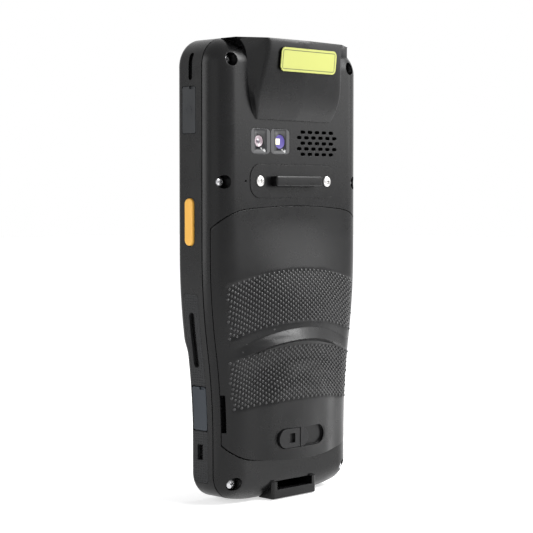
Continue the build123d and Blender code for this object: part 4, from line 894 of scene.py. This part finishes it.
def textShape(name, text, size):
    curve = bpy.data.curves.new(name, "FONT")
    curve.body = text
    curve.size = size * millimetre
    curve.align_x = "CENTER"
    curve.align_y = "CENTER"
    curve.extrude = (markLook["proud"] + markLook["sunk"]) / 2 * millimetre
    holder = linked(name + "Curve", curve)
    graph = bpy.context.evaluated_depsgraph_get()
    mesh = bpy.data.meshes.new_from_object(holder.evaluated_get(graph))
    bpy.data.objects.remove(holder)
    mesh.transform(Matrix.Translation((0, 0, (markLook["proud"] - markLook["sunk"]) / 2 * millimetre)))
    form = bmesh.new()
    form.from_mesh(mesh)
    bmesh.ops.remove_doubles(form, verts=form.verts, dist=thinEdge)
    bmesh.ops.recalc_face_normals(form, faces=form.faces)
    form.to_mesh(mesh)
    form.free()
    return linked(name, mesh)


def outlineShape(name, outlines):
    form = bmesh.new()
    low, high = -markLook["sunk"] * millimetre, markLook["proud"] * millimetre
    for outline in outlines:
        lower = [form.verts.new((x * millimetre, y * millimetre, low)) for x, y in outline]
        upper = [form.verts.new((x * millimetre, y * millimetre, high)) for x, y in outline]
        count = len(outline)
        form.faces.new(upper)
        form.faces.new(list(reversed(lower)))
        for step in range(count):
            after = (step + 1) % count
            form.faces.new((lower[step], lower[after], upper[after], upper[step]))
    bmesh.ops.triangulate(form, faces=[face for face in form.faces if len(face.verts) > 4])
    bmesh.ops.recalc_face_normals(form, faces=form.faces)
    return formPiece(name, form)


def bar(x, y, width, height):
    return [(x + across * width / 2, y + along * height / 2)
            for across, along in ((-1, -1), (1, -1), (1, 1), (-1, 1))]


def arcBand(radius, width, first, last):
    steps = markLook["arcSteps"]
    turns = [math.radians(first + (last - first) * step / steps) for step in range(steps + 1)]
    outer, inner = ([(math.cos(turn) * reach, math.sin(turn) * reach) for turn in turns]
                    for reach in (radius + width / 2, radius - width / 2))
    return outer + inner[::-1]


# key legends: numbers and the plain symbols of such keypads
legendSize = 4.6
legendTexts = {"key_%d" % number: str(number) for number in range(10)}
legendTexts.update({"key_star": "*", "key_hash": "#", "key_clear": "C"})
legendShapes = {
    "key_up": ("front", [[(-1.5, -1.0), (1.5, -1.0), (0, 1.5)]]),
    "key_down": ("front", [[(-1.5, 1.0), (0, -1.5), (1.5, 1.0)]]),
    "key_enter": ("front", [[(2.0, 1.5), (1.5, 1.5), (1.5, -0.25), (-0.7, -0.25), (-0.7, 0.75), (-2.2, -0.5),
                             (-0.7, -1.75), (-0.7, -0.75), (2.0, -0.75)]]),
    "key_scan": ("front", [bar(x, 0, width, 3.4) for x, width in ((-3.0, 0.9), (-1.7, 0.4), (-0.7, 0.8),
                                                                 (0.6, 0.4), (1.5, 0.4), (2.8, 1.0))]),
    "key_soft_left": ("front", [bar(0, 0, 3.2, 0.6)]),
    "key_soft_right": ("front", [bar(0, y, 2.6, 0.45) for y in (-1.0, 0.0, 1.0)]),
    "power_key": ("left", [arcBand(1.0, 0.32, 125, 415), bar(0, 0.75, 0.32, 1.3)]),
    "volume_rocker": ("left", [bar(0, 6.4, 1.9, 0.42), bar(0, -6.4, 1.9, 0.42),
                               bar(0, 7.0, 0.42, 0.74), bar(0, 5.8, 0.42, 0.74)]),
}


# the middle of one side of a node's box
def faceCentre(node, side):
    low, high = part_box(node)
    middle = (Vector(low) + Vector(high)) / 2
    if side == "front":
        middle.y = low[1]
    else:
        middle.x = high[0] if side == "right" else low[0]
    return middle


for node, text in legendTexts.items():
    mark = placed(textShape(node + "_legend", text, legendSize), faceCentre(node, "front"), faceAxes["front"])
    finished(mark, bodyOf[node], "legendInk")
for node, (side, outlines) in legendShapes.items():
    mark = placed(outlineShape(node + "_legend", outlines), faceCentre(node, side), faceAxes[side])
    finished(mark, bodyOf[node], "legendInk")
headsetMark = [arcBand(1.35, 0.34, 0, 180), bar(-1.35, -0.45, 0.75, 1.3), bar(1.35, -0.45, 0.75, 1.3)]
mark = placed(outlineShape("audioDoorMark", headsetMark), faceCentre("audio_door", "right"),
              faceAxes["right"])
finished(mark, "audio_door", "doorRubber")
reportStage("marks")


# label: bare paper with a thin printed frame
labelLook = {"tilt": 6.0, "half": (14.2, 3.6), "line": 0.28, "corner": 0.9, "levels": (0.015, -0.1),
             "steps": 5}


def roundedLoop(half, corner, steps):
    loop = []
    for quarter, (side, rise) in enumerate(((1, 1), (-1, 1), (-1, -1), (1, -1))):
        for step in range(steps + 1):
            turn = math.pi / 2 * (quarter + step / steps)
            loop.append((side * (half[0] - corner) + corner * math.cos(turn),
                         rise * (half[1] - corner) + corner * math.sin(turn)))
    return loop


def frameShape(name, look):
    outer, inner = (
        roundedLoop([part - inset for part in look["half"]], look["corner"] - inset, look["steps"])
        for inset in (0.0, look["line"]))
    count = len(outer)
    points = [Vector((x, y, level)) * millimetre for level in look["levels"] for loop in (outer, inner)
              for x, y in loop]
    faces = []
    for step in range(count):
        after = (step + 1) % count
        rims = [(base + step, base + after) for base in (0, count, 3 * count, 2 * count)]
        for (near, nearAfter), (far, farAfter) in zip(rims, rims[1:] + rims[:1]):
            faces.append((near, nearAfter, farAfter, far))
    return facedOut(meshPiece(name, points, faces))


tilt = math.radians(labelLook["tilt"])
labelUp = Vector((0, math.sin(tilt), math.cos(tilt)))
labelOut = Vector((0, math.cos(tilt), -math.sin(tilt)))
low, high = (Vector(corner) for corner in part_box("label_pad"))
labelCentre = (low + high) / 2
surfaceLevel = max(vert.co.dot(labelOut) for vert in frame["nodes"]["label_pad"].data.vertices)
labelCentre += labelOut * (surfaceLevel - labelCentre.dot(labelOut))
mark = placed(frameShape("labelFrame", labelLook), labelCentre, ((-1, 0, 0), labelUp, labelOut))
finished(mark, "body", "labelInk")
reportStage("label")


# the two keys nearest the corners are a hair smaller, so that they clear the shell when pressed
cornerKeys = {"names": ("key_enter", "key_star"), "size": 0.98}


def easedKey(piece, look):
    points = [vert.co.copy() for vert in piece.data.vertices]
    low, high = (Vector(pick(point[axis] for point in points) for axis in range(3)) for pick in (min, max))
    centre = (low + high) / 2
    for vert in piece.data.vertices:
        for axis in (0, 2):
            vert.co[axis] = centre[axis] + (vert.co[axis] - centre[axis]) * look["size"]


# every other node, welded and finished
made = {"battery_cover", *gripPads, *screwSets, *opticLook}
for node in frame["nodes"]:
    if node in made:
        continue
    finish = nodeFinish.get(node, slotFinish[slotOf[node]])
    piece = finished(weldedCopy(node, node + "_form"), bodyOf[node], finish)
    if node in cornerKeys["names"]:
        easedKey(piece, cornerKeys)
    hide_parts(node)
reportStage("case and inner parts")
